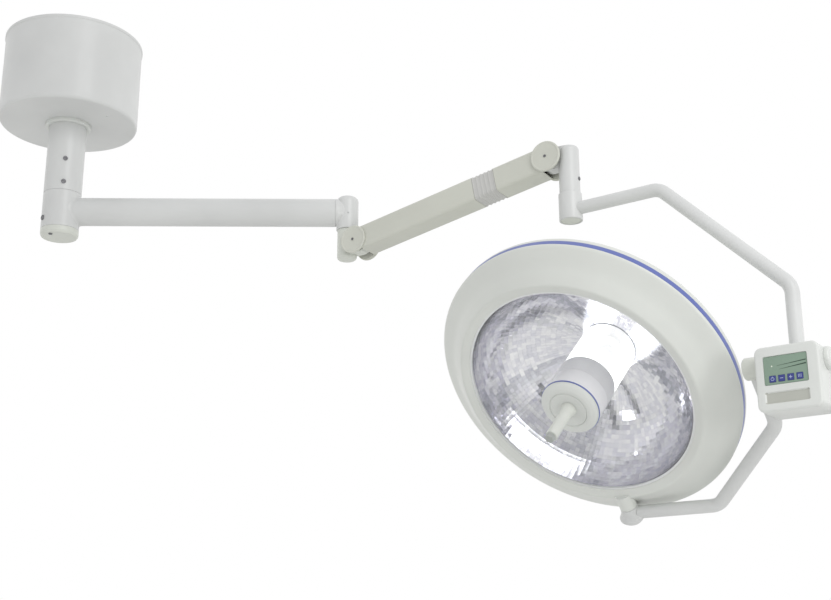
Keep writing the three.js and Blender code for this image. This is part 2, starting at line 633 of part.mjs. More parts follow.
const boxTop = GIMBAL_Z + BOX_Z[1];
const TUBE_SIDES = 14;
const BORE_SIDES = 8;
const outerCorners = [
  v(SLEEVE_R - 8, 0, OUTER_Z),
  v(OUTER_U1, 0, OUTER_Z),
  v(OUTER_U2, 0, OUTER_Z - (OUTER_U2 - OUTER_U1)),
  v(OUTER_U2, 0, boxTop - 10),
];
const longer = outerCorners.map((p) => p.clone());
longer[0].x -= 5;
longer[3].z -= 5;
let outerTube = sweep(bent(outerCorners, BEND_R), TUBE_R, TUBE_SIDES);
outerTube = outerTube.subtract(sweep(bent(longer, BEND_R), TUBE_R - TUBE_WALL, BORE_SIDES));
outerTube = outerTube.subtract(rod(SLEEVE_R + GAP, -200, 0));
piece(yoke, "outer_yoke_tube", outerTube, ENAMEL);

const boxMid = (BOX_U[0] + BOX_U[1]) / 2;
const boxHalf = (BOX_U[1] - BOX_U[0]) / 2;
const boxHigh = (BOX_Z[1] - BOX_Z[0]) / 2;
const panel = frame(yoke, boxMid, 0, GIMBAL_Z + (BOX_Z[0] + BOX_Z[1]) / 2);
const axisZ = -(BOX_Z[0] + BOX_Z[1]) / 2; // height of the box axis in the panel frame
const BOX_CORNER = 14;
// A rounded plate facing -y, from y0 to y1.
function facePlate(halfW, halfH, r, y0, y1) {
  const g = new THREE.ExtrudeGeometry(roundedRect(halfW, halfH, r), {
    depth: y1 - y0,
    bevelEnabled: false,
    curveSegments: 2,
  });
  return solid(g).rotate([90, 0, 0]).translate([0, y1, 0]);
}
const BOX_WALL = 3;
const SHAFT_R = 12;
const boxInside = [boxHalf - BOX_WALL, boxHigh - BOX_WALL, BOX_CORNER - BOX_WALL];
let caseShell = facePlate(boxHalf, boxHigh, BOX_CORNER, -BOX_HALF_D, BOX_HALF_D);
caseShell = caseShell.subtract(facePlate(...boxInside, -BOX_HALF_D - 1, BOX_HALF_D - BOX_WALL));
const shaftHole = along.x(rod(SHAFT_R + 2 * GAP, -boxHalf - 5, -boxHalf + 8));
caseShell = caseShell.subtract(shaftHole.translate([0, 0, axisZ]));
const tubeHole = rod(TUBE_R + GAP, boxHigh - 8, boxHigh + 5);
caseShell = caseShell.subtract(tubeHole.translate([OUTER_U2 - boxMid, 0, 0]));
piece(panel, "control_case", caseShell, PLASTIC);

const FACE_T = 6.5;
const FACE = -BOX_HALF_D - FACE_T;
const WINDOW_HALF = [43.5, 28.5];
const WINDOW_AT = [-3, 16]; // window centre on the face
const TRAY_HALF = [43.5, 10.5];
const TRAY_AT = [-3, -38];
const TRAY_DEPTH = 2.5;
let face = facePlate(boxHalf, boxHigh, BOX_CORNER, FACE, -BOX_HALF_D - GAP);
const windowHole = facePlate(WINDOW_HALF[0], WINDOW_HALF[1], 3, FACE - 1, -BOX_HALF_D + 1);
face = face.subtract(windowHole.translate([WINDOW_AT[0], 0, WINDOW_AT[1]]));
const tray = facePlate(TRAY_HALF[0], TRAY_HALF[1], 3, FACE - 1, FACE + TRAY_DEPTH);
face = face.subtract(tray.translate([TRAY_AT[0], 0, TRAY_AT[1]]));
piece(panel, "control_frame", face, PLASTIC);
const KEY_ROW = WINDOW_AT[1] - 17;
const KEY_FACE = FACE + 0.6; // the keys stand proud of the window by 0.9
const KEY_BACK = -BOX_HALF_D - 1.6;
const keyX = (i) => WINDOW_AT[0] + (i - 1.5) * KEY_PITCH;
let pane = facePlate(WINDOW_HALF[0] - GAP, WINDOW_HALF[1] - GAP, 2.5, FACE + 1.5, -BOX_HALF_D - 1);
pane = pane.translate([WINDOW_AT[0], 0, WINDOW_AT[1]]);
const half = KEY_SIZE / 2;
for (let i = 0; i < 4; i += 1) {
  const hole = box(-half - GAP, half + GAP, FACE - 2, -BOX_HALF_D + 2, -half - GAP, half + GAP);
  pane = pane.subtract(hole.translate([keyX(i), 0, KEY_ROW]));
  const key = facePlate(half, half, 1.5, KEY_FACE, KEY_BACK).translate([keyX(i), 0, KEY_ROW]);
  piece(panel, `key_${i + 1}`, key, KEY_BLUE);
}
piece(panel, "display_window", pane, WINDOW);
const sideCap = turned(
  [
    [0, boxHalf + GAP],
    [STUB_R, boxHalf + GAP],
    [STUB_R, boxHalf + 7],
    [STUB_R - 2, boxHalf + 10],
    [STUB_R - 7, boxHalf + 12],
    [0, boxHalf + 12],
  ],
);
piece(panel, "side_cap", along.x(sideCap).translate([0, 0, axisZ]), PLASTIC);

// ---- inner yoke: turns about the control box axis ----
const inner = frame(yoke, 0, 0, GIMBAL_Z, INNER_TURN, 0, 0);
const stubIn = BOX_U[0] - GAP;
const SHAFT_LENGTH = 26;
let stub = turned(
  [
    [0, STUB_END],
    [STUB_R - 3, STUB_END],
    [STUB_R, STUB_END + 3],
    [STUB_R, stubIn],
    [SHAFT_R, stubIn],
    [SHAFT_R, stubIn + SHAFT_LENGTH],
    [0, stubIn + SHAFT_LENGTH],
  ],
);
const WIRE_BORE = 5;
stub = along.x(stub).subtract(along.x(rod(WIRE_BORE, STUB_END + 12, stubIn + SHAFT_LENGTH + 4)));
piece(inner, "yoke_stub", stub, ENAMEL);

const BOSS_R = 30;
const BOSS_ROOT = 17; // the boss starts this far inside the tube's centre line
const innerCorners = [
  v(INNER_A[0], STUB_R - 8, 0),
  v(INNER_A[0], INNER_B[0], 0),
  v(INNER_A[1], INNER_B[1], 0),
  v(20, INNER_B[1], 0),
];
const innerLonger = innerCorners.map((p) => p.clone());
innerLonger[0].y -= 5;
innerLonger[3].x -= 5;
let innerTube = sweep(bent(innerCorners, BEND_R), TUBE_R, TUBE_SIDES);
innerTube = innerTube.subtract(sweep(bent(innerLonger, BEND_R), TUBE_R - TUBE_WALL, BORE_SIDES));
innerTube = innerTube.subtract(along.x(rod(STUB_R + GAP, STUB_END - 10, BOX_U[0] + 20)));
const bossOutline = (grow) => [
  [0, INNER_B[1] - BOSS_ROOT - grow],
  [20 + grow, INNER_B[1] - BOSS_ROOT - grow],
  [22 + grow, INNER_B[1] - 5],
  [BOSS_R + grow, INNER_B[1] + 5],
  [BOSS_R + grow, INNER_B[1] + 11 + grow],
  [22 + grow, INNER_B[1] + 20 + grow],
  [14 + grow, INNER_B[1] + 26 + grow],
  [0, INNER_B[1] + 27 + grow],
];
innerTube = innerTube.subtract(along.y(turned(bossOutline(GAP))));
piece(inner, "inner_yoke_tube", innerTube, ENAMEL);
const AXLE_R = 12;
const AXLE_END = INNER_B[1] + 8;
let boss = along.y(turned(bossOutline(0)));
boss = boss.subtract(along.y(rod(AXLE_R + GAP, INNER_B[1] - 20, AXLE_END + GAP)));
piece(inner, "pivot_boss", boss, ENAMEL);

// ---- head: z is the optical axis, light leaves towards -z ----
const head = frame(inner, 0, 0, 0, 0, HEAD_TILT, 0);
const ROUND = 32;
const LIP_FRONT = -3.2; // front edge of the lip that holds the glass
const LIP_BACK = -1.2;
const RIDGE_FRONT = -8;
const bezelOutline = [
  [OPEN_R, LIP_FRONT],
  [OPEN_R + 16, RIDGE_FRONT],
  [OPEN_R + 22, RIDGE_FRONT + 2.5],
  [OPEN_R + 50, 20],
  [OPEN_R + 68, 30.5],
  [HEAD_R - 3, 39],
  [HEAD_R, 43],
  [HEAD_R, BEZEL_BACK],
  [HEAD_R - 3, BEZEL_BACK],
  [HEAD_R - 7, 41],
  [OPEN_R + 8, LIP_BACK],
  [OPEN_R, LIP_BACK],
];
let bezel = turned(bezelOutline, ROUND);
const BEZEL_INSIDE = 8; // the outline's points from here on face the inside of the head
const insidePoints = bezelOutline.slice(BEZEL_INSIDE).reverse();
const inside = turned([[0, -80], ...insidePoints, [0, BEZEL_BACK]], ROUND);
const PAD_R = 20;
const padEnd = INNER_B[1] - BOSS_ROOT - 2 * GAP;
const padRoot = OPEN_R + 12;
bezel = bezel.add(along.y(rod(PAD_R, padRoot, padEnd)).subtract(inside));
bezel = bezel.add(along.y(rod(AXLE_R, padEnd - 1, AXLE_END)));
piece(head, "front_bezel", bezel, PLASTIC);
piece(head, "accent_band", ring(HEAD_R - 4, HEAD_R, BEZEL_BACK + GAP, BAND_BACK, ROUND), BLUE);
const domeOutline = [
  [HEAD_R, BAND_BACK + GAP],
  [HEAD_R, BAND_BACK + 9],
  [HEAD_R - 6, BAND_BACK + 20],
  [HEAD_R - 75, BAND_BACK + 84],
  [HEAD_R - 165, BAND_BACK + 130],
  [HEAD_R - 270, HEAD_BACK - 5],
  [0, HEAD_BACK],
];
const domeWall = 2.5;
const domeFront = domeOutline[0][1];
const domeInner = domeOutline
  .slice(0, -1)
  .map(([r, z]) => [r - domeWall, z === domeFront ? z : z - domeWall]);
const dome = turned([...domeOutline, [0, HEAD_BACK - domeWall], ...domeInner.reverse()], ROUND);
piece(head, "back_cover", dome, PLASTIC);

const BOWL_Z = 5;
const BOWL_HOLE = 26;
const bowlZ = (r, rim) => BOWL_Z + BOWL_DEPTH * Math.sqrt(Math.max(0, 1 - (r / rim) ** 2));
const bowlRim = OPEN_R - 1;
const bowlSteps = 6;
const bowlInside = [];
for (let i = 0; i <= bowlSteps; i += 1) {
  const angle = rad(90) * (i / bowlSteps);
  const r = Math.max(BOWL_HOLE, bowlRim * Math.cos(angle));
  bowlInside.push([r, bowlZ(r, bowlRim)]);
}
const bowlOutside = bowlInside.map(([r, z], i) => [r + (i ? 2 : 4), z + (i ? 2 : 0)]).reverse();
bowlOutside[0] = [BOWL_HOLE, bowlOutside[0][1]];
const bowl = turned([...bowlInside, ...bowlOutside], ROUND);
piece(head, "reflector", bowl, MIRROR);
const GLASS_Z = [-0.7, 3.3];
piece(head, "front_glass", ring(HUB_R + 2 * GAP, OPEN_R + 6, GLASS_Z[0], GLASS_Z[1], ROUND), GLASS);

const HUB_BACK = 54;
const HUB_FRONT = -44;
let hubColumn = turned(
  [
    [HUB_R - 3, HUB_FRONT],
    [HUB_R, HUB_FRONT],
    [HUB_R, HUB_BACK],
    [HUB_R - 20, HUB_BACK],
    [HUB_R - 20, HUB_BACK - 3],
    [HUB_R - 3, HUB_BACK - 3],
  ],
);
const ROD_AT = 50;
const ROD_R = 2.5;
const rodEnd = bowlZ(ROD_AT, bowlRim) - 2;
for (let i = 0; i < 3; i += 1) {
  const stay = rod(ROD_R, HUB_BACK - 2, rodEnd).translate([ROD_AT, 0, 0]);
  hubColumn = hubColumn.add(stay.rotate([0, 0, 120 * i]));
}
piece(head, "hub_column", hubColumn, PLASTIC);
const RING_T = 3;
const ringBack = HUB_FRONT - GAP;
piece(head, "hub_ring", ring(HUB_R - 8, HUB_R + 1.2, ringBack - RING_T, ringBack), BLUE);
const capFront = ringBack - RING_T - GAP;
const STEM_R = 6;
const cap = turned(
  [
    [STEM_R + GAP, capFront - 8],
    [STEM_R + GAP, capFront],
    [HUB_R, capFront],
    [HUB_R - 1, capFront - 4],
    [HUB_R - 6, capFront - 9],
    [HUB_R - 14, capFront - 12.5],
    [HUB_R - 22, capFront - 13],
    [HUB_R - 24, capFront - 10.5],
    [HUB_R - 30, capFront - 12.5],
    [20, capFront - 8],
  ],
);
piece(head, "hub_cap", cap, IVORY);
const filterEnd = bowlZ(FILTER_R, bowlRim) - 1;
piece(head, "filter_cylinder", ring(FILTER_R - 3, FILTER_R, HUB_BACK + GAP, filterEnd), GLASS);

// The handle turns on the optical axis and its stem moves the lamp carriage along it.
const GRIP_R = 13.5;
const GRIP_TIP = -166;
const STEM_TOP = 45; // where the stem ends inside the hub
const gripTop = capFront - 8 - GAP;
const grip = turned(
  [
    [0, GRIP_TIP],
    [GRIP_R - 4, GRIP_TIP],
    [GRIP_R - 1.5, GRIP_TIP + 3],
    [GRIP_R - 1.5, GRIP_TIP + 14],
    [GRIP_R, GRIP_TIP + 16],
    [GRIP_R, gripTop - 8],
    [GRIP_R + 4, gripTop],
    [STEM_R, gripTop],
    [STEM_R, STEM_TOP],
    [0, STEM_TOP],
  ],
);
const flats = rod(GRIP_R + 3, GRIP_TIP - 1, GRIP_TIP + 14, 6).add(rod(40, GRIP_TIP + 14, 100));
piece(head, "focus_handle", grip.intersect(flats), PLASTIC);
const socketZ = bowlZ(BOWL_HOLE, bowlRim) - 22;
const SOCKET_FRONT = 134; // mouth of the lamp socket
const SOCKET_FLOOR = 148;
const SOCKET_BORE = 11;
const CARRIAGE_R = 20;
const carriage = turned(
  [
    [SOCKET_BORE, SOCKET_FRONT],
    [CARRIAGE_R - 4, SOCKET_FRONT],
    [CARRIAGE_R - 4, socketZ],
    [CARRIAGE_R, socketZ + 3],
    [CARRIAGE_R, socketZ + 8],
    [0, socketZ + 8],
    [0, SOCKET_FLOOR],
    [SOCKET_BORE, SOCKET_FLOOR],
  ],
);
piece(head, "lamp_carriage", carriage, DARK_STEEL);
const BULB_R = 9;
const BULB_TIP = 104;
const BULB_END = SOCKET_FLOOR - 1;
const bulb = turned(
  [
    [0, BULB_TIP],
    [3, BULB_TIP + 1],
    [BULB_R - 2, BULB_TIP + 5],
    [BULB_R, BULB_TIP + 12],
    [BULB_R, BULB_END - 11],
    [BULB_R - 3, BULB_END - 7],
    [BULB_R - 3, BULB_END],
    [0, BULB_END],
  ],
);
piece(head, "lamp_bulb", bulb, GLASS);

export default light;
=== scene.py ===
import json
import math

import bmesh
import bpy
from mathutils import Matrix, Vector

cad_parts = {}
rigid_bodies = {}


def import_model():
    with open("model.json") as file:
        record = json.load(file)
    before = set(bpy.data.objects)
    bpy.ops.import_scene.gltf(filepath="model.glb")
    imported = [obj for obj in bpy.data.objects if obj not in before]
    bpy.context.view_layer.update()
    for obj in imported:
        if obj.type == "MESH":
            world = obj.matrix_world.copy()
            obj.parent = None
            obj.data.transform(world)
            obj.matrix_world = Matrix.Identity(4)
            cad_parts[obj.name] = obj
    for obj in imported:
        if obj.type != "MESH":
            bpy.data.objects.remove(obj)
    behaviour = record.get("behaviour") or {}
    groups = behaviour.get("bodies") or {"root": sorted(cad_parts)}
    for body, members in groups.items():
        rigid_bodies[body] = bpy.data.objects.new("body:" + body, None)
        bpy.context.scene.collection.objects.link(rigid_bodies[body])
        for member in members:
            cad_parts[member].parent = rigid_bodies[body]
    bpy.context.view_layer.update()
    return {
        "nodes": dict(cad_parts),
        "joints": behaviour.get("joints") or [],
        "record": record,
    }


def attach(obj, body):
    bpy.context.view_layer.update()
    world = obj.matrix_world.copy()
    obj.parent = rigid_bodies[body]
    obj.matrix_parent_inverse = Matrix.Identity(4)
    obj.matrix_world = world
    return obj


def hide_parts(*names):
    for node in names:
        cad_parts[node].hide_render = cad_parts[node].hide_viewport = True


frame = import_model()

MM = 0.001
TINY = 1e-6
record = frame["record"]
body_of_node = {n: b for b, nodes in record["behaviour"]["bodies"].items() for n in nodes}
joints = {j["name"]: j for j in frame["joints"]}

# ---- where each body's own frame is, from the joints ----
UP = Vector((0, 0, 1))


def axis_of(joint):
    return Vector(joints[joint]["axis"]).normalized()


def place_of(joint):
    return Vector(joints[joint]["pos_m"])


def frame_at(origin, x, y):
    """A frame at origin whose x and y point along the given square-on directions."""
    x, y = x.normalized(), y.normalized()
    m = Matrix((x, y, x.cross(y))).transposed().to_4x4()
    m.translation = origin
    return m


def shifted(place, x=0, y=0, z=0):
    return place @ Matrix.Translation(Vector((x, y, z)) * MM)


hinge_axis = axis_of("spring_arm_pitch")
reach = hinge_axis.cross(UP)
slope = place_of("post_level") - place_of("spring_arm_pitch")
yoke_axis = axis_of("inner_yoke_turn")
tilt_axis = axis_of("head_tilt")
optical_axis = axis_of("focus_turn")
post_foot = place_of("yoke_swivel")
gimbal = Vector((post_foot.x, post_foot.y, place_of("inner_yoke_turn").z))

CEILING = Matrix.Identity(4)
ARM = Matrix.Translation(place_of("arm_swivel"))
KNUCKLE = frame_at(place_of("spring_arm_swivel"), reach, hinge_axis)
SPRING_ARM = frame_at(place_of("spring_arm_pitch"), slope, hinge_axis)
LINK = frame_at(place_of("levelling_rod_turn"), slope, hinge_axis)
POST = frame_at(post_foot, reach, hinge_axis)
YOKE = frame_at(post_foot, yoke_axis, UP.cross(yoke_axis))
GIMBAL_DROP = (gimbal.z - post_foot.z) / MM
PANEL_REACH, AXLE_RISE = 482, 38
PANEL = shifted(YOKE, PANEL_REACH, 0, GIMBAL_DROP - AXLE_RISE)
INNER = frame_at(gimbal, yoke_axis, tilt_axis)
HEAD = frame_at(gimbal, tilt_axis.cross(optical_axis), tilt_axis)
ALONG_X = Matrix.Rotation(math.radians(90), 4, "Y")
ALONG_Y = Matrix.Rotation(math.radians(-90), 4, "X")
ARM_LENGTH = place_of("spring_arm_swivel").x / MM
SPRING_LENGTH = slope.length / MM
HINGE_OFFSET = 43
POST_HINGE_Z = (place_of("post_level").z - post_foot.z) / MM
KNUCKLE_HINGE_Z = (place_of("spring_arm_pitch").z - place_of("spring_arm_swivel").z) / MM


# ---- mesh work ----
CORNER_SHARE, CORNER_STEPS = 0.48, 4
EDGE_STEPS, LEAST_CORNER = 4, 0.3
BEVEL_SEGMENTS, BEVEL_ANGLE = 2, math.radians(40)


def rounded(points):
    """The outline with each corner that has a third number, its radius, turned into a soft one."""
    flat = [Vector(p[:2]) for p in points]
    found = []
    for i, p in enumerate(points):
        here = flat[i]
        if len(p) == 2:
            found.append(here)
            continue
        before, after = flat[i - 1], flat[(i + 1) % len(flat)]
        size = min(p[2], CORNER_SHARE * (before - here).length, CORNER_SHARE * (after - here).length)
        start = here + (before - here).normalized() * size
        end = here + (after - here).normalized() * size
        for k in range(CORNER_STEPS + 1):
            t = k / CORNER_STEPS
            found.append((1 - t) ** 2 * start + 2 * t * (1 - t) * here + t * t * end)
    return found


def plain(bm, name="blank"):
    mesh = bpy.data.meshes.new(name)
    bm.to_mesh(mesh)
    bm.free()
    return mesh


def to_mesh(bm):
    """The plain mesh with its faces turned outwards."""
    bmesh.ops.recalc_face_normals(bm, faces=bm.faces)
    return plain(bm)


def linked(name, data):
    """A new object of this data, in the scene."""
    o = bpy.data.objects.new(name, data)
    bpy.context.scene.collection.objects.link(o)
    return o


def settled(o):
    """The plain mesh that an object's modifiers give."""
    return bpy.data.meshes.new_from_object(o.evaluated_get(bpy.context.evaluated_depsgraph_get()))


def turned(points, steps=96, turn=None):
    """A closed outline of (radius, height) turned about z."""
    bm = bmesh.new()
    rings = []
    for p in rounded(points):
        if p.x < TINY:
            rings.append([bm.verts.new((0, 0, p.y))] * steps)
            continue
        angles = [2 * math.pi * k / steps for k in range(steps)]
        rings.append([bm.verts.new((p.x * math.cos(a), p.x * math.sin(a), p.y)) for a in angles])
    for i, low in enumerate(rings):
        high = rings[(i + 1) % len(rings)]
        for k in range(steps):
            n = (k + 1) % steps
            corners = list(dict.fromkeys([low[k], low[n], high[n], high[k]]))
            if len(corners) > 2:
                bm.faces.new(corners)
    if turn is not None:
        bm.transform(turn)
    return to_mesh(bm)


def rod(r, z0, z1, steps=48, turn=None):
    return turned([(0, z0), (r, z0), (r, z1), (0, z1)], steps, turn)


def moved(mesh, x=0, y=0, z=0, spin=None):
    if spin is not None:
        mesh.transform(spin)
    mesh.transform(Matrix.Translation((x, y, z)))
    return mesh


def skinned(loops, closed=False):
    """Quads between one loop of points and the next; closed joins last to first, else both ends get a cap."""
    bm = bmesh.new()
    rows = [[bm.verts.new(p) for p in loop] for loop in loops]
    count = len(rows[0])
    pairs = list(zip(rows, rows[1:])) + ([(rows[-1], rows[0])] if closed else [])
    for low, high in pairs:
        for k in range(count):
            n = (k + 1) % count
            bm.faces.new((low[k], low[n], high[n], high[k]))
    if not closed:
        bm.faces.new(rows[0])
        bm.faces.new(rows[-1])
    return to_mesh(bm)


def rounded_loop(half_w, half_h, r, steps=6):
    """Corner points of a rounded rectangle, anticlockwise from the lower right."""
    loop = []
    for i, (sx, sy) in enumerate(((1, -1), (1, 1), (-1, 1), (-1, -1))):
        for k in range(steps + 1):
            a = math.radians(90) * (i - 1 + k / steps)
            loop.append((sx * (half_w - r) + r * math.cos(a), sy * (half_h - r) + r * math.sin(a)))
    return loop


def bar(sections, steps=6):
    """A bar along x through sections of (x, half width along y, half height along z, corner radius)."""
    return [[(x, y, z) for y, z in rounded_loop(w, h, r, steps)] for x, w, h, r in sections]


def plate(sections, steps=6):
    """A plate facing -y through sections of (y, half width, half height, corner radius)."""
    return [[(x, y, z) for x, z in rounded_loop(w, h, r, steps)] for y, w, h, r in sections]


def soft_plate(half_w, half_h, r, back, front, edge, steps=6):
    """A rounded plate from y = back to y = front, with the front edge rolled over."""
    sign = 1 if front > back else -1
    sections = [(back, half_w, half_h, r)]
    for k in range(EDGE_STEPS + 1):
        a = math.radians(90) * k / EDGE_STEPS
        pull = edge * (1 - math.cos(a))
        y = front - sign * edge * (1 - math.sin(a))
        sections.append((y, half_w - pull, half_h - pull, max(r - pull, LEAST_CORNER)))
    return plate(sections, steps)


def carved(target, tool, how="DIFFERENCE"):
    """target with tool cut away from it, or joined to it."""
    a, b = linked("blank", target), linked("tool", tool)
    cut = a.modifiers.new("cut", "BOOLEAN")
    cut.operation = how
    cut.object = b
    cut.solver = "EXACT"
    result = settled(a)
    for o in (a, b):
        bpy.data.objects.remove(o)
    return result


def fused(*meshes):
    whole = meshes[0]
    for m in meshes[1:]:
        whole = carved(whole, m, "UNION")
    return whole


def bevelled(mesh, width):
    """Sharp edges rolled over by width, in millimetres."""
    o = linked("blank", mesh)
    edge = o.modifiers.new("edge", "BEVEL")
    edge.width = width
    edge.segments = BEVEL_SEGMENTS
    edge.limit_method = "ANGLE"
    edge.angle_limit = BEVEL_ANGLE
    result = settled(o)
    bpy.data.objects.remove(o)
    return result


def piece(node, mesh, place, look, crease=32, tint=None):
    """The finished piece that stands for a CAD node, riding on that node's body.

    tint is a second finish and the test that says which face centres, in the body's millimetres, take it.
    """
    to_metres = place @ Matrix.Scale(MM, 4)
    mesh.transform(to_metres)
    bm = bmesh.new()
    bm.from_mesh(mesh)
    bmesh.ops.remove_doubles(bm, verts=bm.verts, dist=TINY)
    bm.to_mesh(mesh)
    bm.free()
    mesh.shade_smooth()
    mesh.set_sharp_from_angle(angle=math.radians(crease))
    o = linked("look_" + node, mesh)
    mesh.name = o.name
    if look is not None:
        mesh.materials.clear()
        mesh.materials.append(look)
    if tint is not None:
        second, wanted = tint
        mesh.materials.append(second)
        back = to_metres.inverted()
        for face in mesh.polygons:
            face.material_index = 1 if wanted(back @ face.center) else 0
    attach(o, body_of_node[node])
    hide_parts(node)
    return o


# ---- finishes ----
DRIFT_SCALE, GRAIN_SCALE, RUB_SCALE = 5.0, 900.0, 22.0
TOOL_MARK_SCALE, FILM_SCALE, HAZE_SCALE, SMEAR_SCALE = 1400.0, 60.0, 30.0, 18.0
GRAIN_SHARE, GRAIN_TONE = 0.03, 0.72
PEEL_STRENGTH, TOOL_MARK_STRENGTH, TOOL_MARK_DEPTH = 0.2, 0.35, 0.00003
COAT_ROUGHNESS = 0.15
# The facet colours: each facet's random tone runs from FACET_COOL to FACET_BRIGHT, partly the coating's tint
# and partly painted reflection; the third colour is the dark tone of the painted reflection streaks.
FACET_COOL, FACET_BRIGHT, FACET_PAINTED_DARK_REFLECTION = (0.78, 0.77, 0.85), (1.0, 1.0, 1.0), (0.42, 0.43, 0.49)
GLASS_IOR = 1.47
TURNED_MARKS = (1, 1, 8)
PRINTED = {"peel": 0.00001, "peel_scale": 1500}


def plug(tree, node, **inputs):
    """Each input given a socket, or a node for its first output, is linked; any other takes the value."""
    for key, value in inputs.items():
        if isinstance(value, bpy.types.Node):
            value = value.outputs[0]
        numbered = key[0] == "i" and key[1:].isdigit()
        socket = node.inputs[int(key[1:]) if numbered else key.replace("_", " ")]
        if isinstance(value, bpy.types.NodeSocket):
            tree.links.new(value, socket)
        else:
            socket.default_value = value
    return node


def add(tree, kind, settings=(), **inputs):
    """A new node with its settings made and its inputs plugged."""
    node = tree.nodes.new(kind)
    for key, value in dict(settings).items():
        setattr(node, key, value)
    return plug(tree, node, **inputs)


def shader(name):
    """A new material, its tree, its surface shader, and the Object coordinates its patterns read."""
    look = bpy.data.materials.new(name)
    look.use_nodes = True
    tree = look.node_tree
    where = add(tree, "ShaderNodeTexCoord").outputs["Object"]
    return look, tree, tree.nodes["Principled BSDF"], where


def noise(tree, where, scale, detail=2.0):
    return add(tree, "ShaderNodeTexNoise", Vector=where, Scale=scale, Detail=detail, Roughness=0.5)


def spread(tree, value, low, high, start=0.35, end=0.65):
    """value from start to end, spread from low to high."""
    return add(tree, "ShaderNodeMapRange", i0=value, i1=start, i2=end, i3=low, i4=high).outputs[0]


def blend_colours(tree, share, a, b):
    a, b = ((*c, 1) if isinstance(c, tuple) else c for c in (a, b))
    return add(tree, "ShaderNodeMix", {"data_type": "RGBA"}, i0=share, i6=a, i7=b).outputs[2]


def shade_of(colour, share):
    return tuple(min(1, c * share) for c in colour)


def paint(name, colour, roughness, peel=0.00002, peel_scale=420, mottle=0.05, coat=0.0):
    """Sprayed or moulded skin: a fine peel in the surface, a slow drift of tone, and faint dulled patches."""
    look, tree, skin, where = shader(name)
    drift = spread(tree, noise(tree, where, DRIFT_SCALE, 3.0), 0, 1)
    tone = blend_colours(tree, drift, shade_of(colour, 1 - mottle), shade_of(colour, 1 + mottle * 0.5))
    grain = spread(tree, noise(tree, where, GRAIN_SCALE, 1.0), 0, GRAIN_SHARE)
    tone = blend_colours(tree, grain, tone, shade_of(colour, GRAIN_TONE))
    rubbed = spread(tree, noise(tree, where, RUB_SCALE, 4.0), roughness - 0.05, roughness + 0.07)
    skin_height = noise(tree, where, peel_scale, 2.0)
    bump = add(tree, "ShaderNodeBump", Strength=PEEL_STRENGTH, Distance=peel, Height=skin_height)
    plug(tree, skin, Base_Color=tone, Roughness=rubbed, Normal=bump,
         Coat_Weight=coat, Coat_Roughness=COAT_ROUGHNESS)
    return look


def metal(name, colour, roughness, streak=(1.0, 1.0, 1.0), wear=0.15):
    """Machined metal: fine tool marks, drawn out along one way, and a duller film in patches."""
    look, tree, skin, where = shader(name)
    drawn = add(tree, "ShaderNodeMapping", Vector=where, Scale=streak)
    marks = noise(tree, drawn, TOOL_MARK_SCALE, 2.0)
    film = spread(tree, noise(tree, where, FILM_SCALE, 4.0), 0, 1)
    tone = blend_colours(tree, film, shade_of(colour, 1 - wear), shade_of(colour, 1.08))
    dulled = spread(tree, film, roughness - 0.06, roughness + 0.12, 0, 1)
    bump = add(tree, "ShaderNodeBump", Strength=TOOL_MARK_STRENGTH, Distance=TOOL_MARK_DEPTH, Height=marks)
    plug(tree, skin, Base_Color=tone, Roughness=dulled, Normal=bump, Metallic=1.0)
    return look


def mirror(name):
    """Mirror facets: each has its own tone from cool lavender to bright silver, partly the coating's tint and
    partly painted reflection, dark streaks of painted reflection in ragged sectors, and its own slight haze.
    """
    look, tree, skin, where = shader(name)
    tone = add(tree, "ShaderNodeAttribute", {"attribute_name": "facet_tone"}).outputs["Fac"]
    band = add(tree, "ShaderNodeAttribute", {"attribute_name": "facet_painted_reflection"}).outputs["Fac"]
    # The streak share pulls a facet towards the dark colour: painted reflection of dark surroundings.
    coated = blend_colours(tree, band, blend_colours(tree, tone, FACET_COOL, FACET_BRIGHT), FACET_PAINTED_DARK_REFLECTION)
    haze = spread(tree, noise(tree, where, HAZE_SCALE, 3.0), 0.05, 0.10)
    own = add(tree, "ShaderNodeMath", {"operation": "MULTIPLY_ADD"}, i0=tone, i1=0.05, i2=haze)
    plug(tree, skin, Base_Color=coated, Roughness=own, Metallic=1.0)
    return look


def glass(name, colour, glow=0.0, clear=1.0):
    """Polished glass with faint wiping marks; below 1, clear is the share of light let straight through."""
    look, tree, skin, where = shader(name)
    smear = spread(tree, noise(tree, where, SMEAR_SCALE, 4.0), 0.01, 0.06)
    plug(tree, skin, Roughness=smear, Base_Color=(*colour, 1), IOR=GLASS_IOR)
    if clear < 1:
        plug(tree, skin, Alpha=1 - clear)
    else:
        plug(tree, skin, Transmission_Weight=1.0)
    if glow:
        plug(tree, skin, Emission_Color=(1, 1, 1, 1), Emission_Strength=glow)
    return look


ENAMEL = paint("satin_powder_coat", (0.70, 0.71, 0.70), 0.38, coat=0.1)
KNUCKLE_ENAMEL = paint("ivory_powder_coat", (0.71, 0.73, 0.67), 0.40, coat=0.1)
CASING = paint("ivory_arm_moulding", (0.65, 0.66, 0.59), 0.42, peel=0.00004, peel_scale=700)
RIB_SKIN = paint("pale_ribbed_moulding", (0.60, 0.60, 0.58), 0.45, peel=0.00004, peel_scale=700)
HOUSING = paint("panel_housing_moulding", (0.74, 0.76, 0.73), 0.36, peel=0.00003, peel_scale=800, coat=0.15)
TRAY = paint("recessed_tray_moulding", (0.50, 0.51, 0.46), 0.5, peel=0.00003, peel_scale=800)
SHELL = paint("head_shell_moulding", (0.73, 0.75, 0.71), 0.35, peel=0.00003, peel_scale=700,
              mottle=0.03, coat=0.2)
HUB_WHITE = paint("hub_moulding", (0.90, 0.90, 0.91), 0.36, peel_scale=900, coat=0.2)
HUB_IVORY = paint("hub_cap_moulding", (0.74, 0.76, 0.73), 0.36, peel_scale=900)
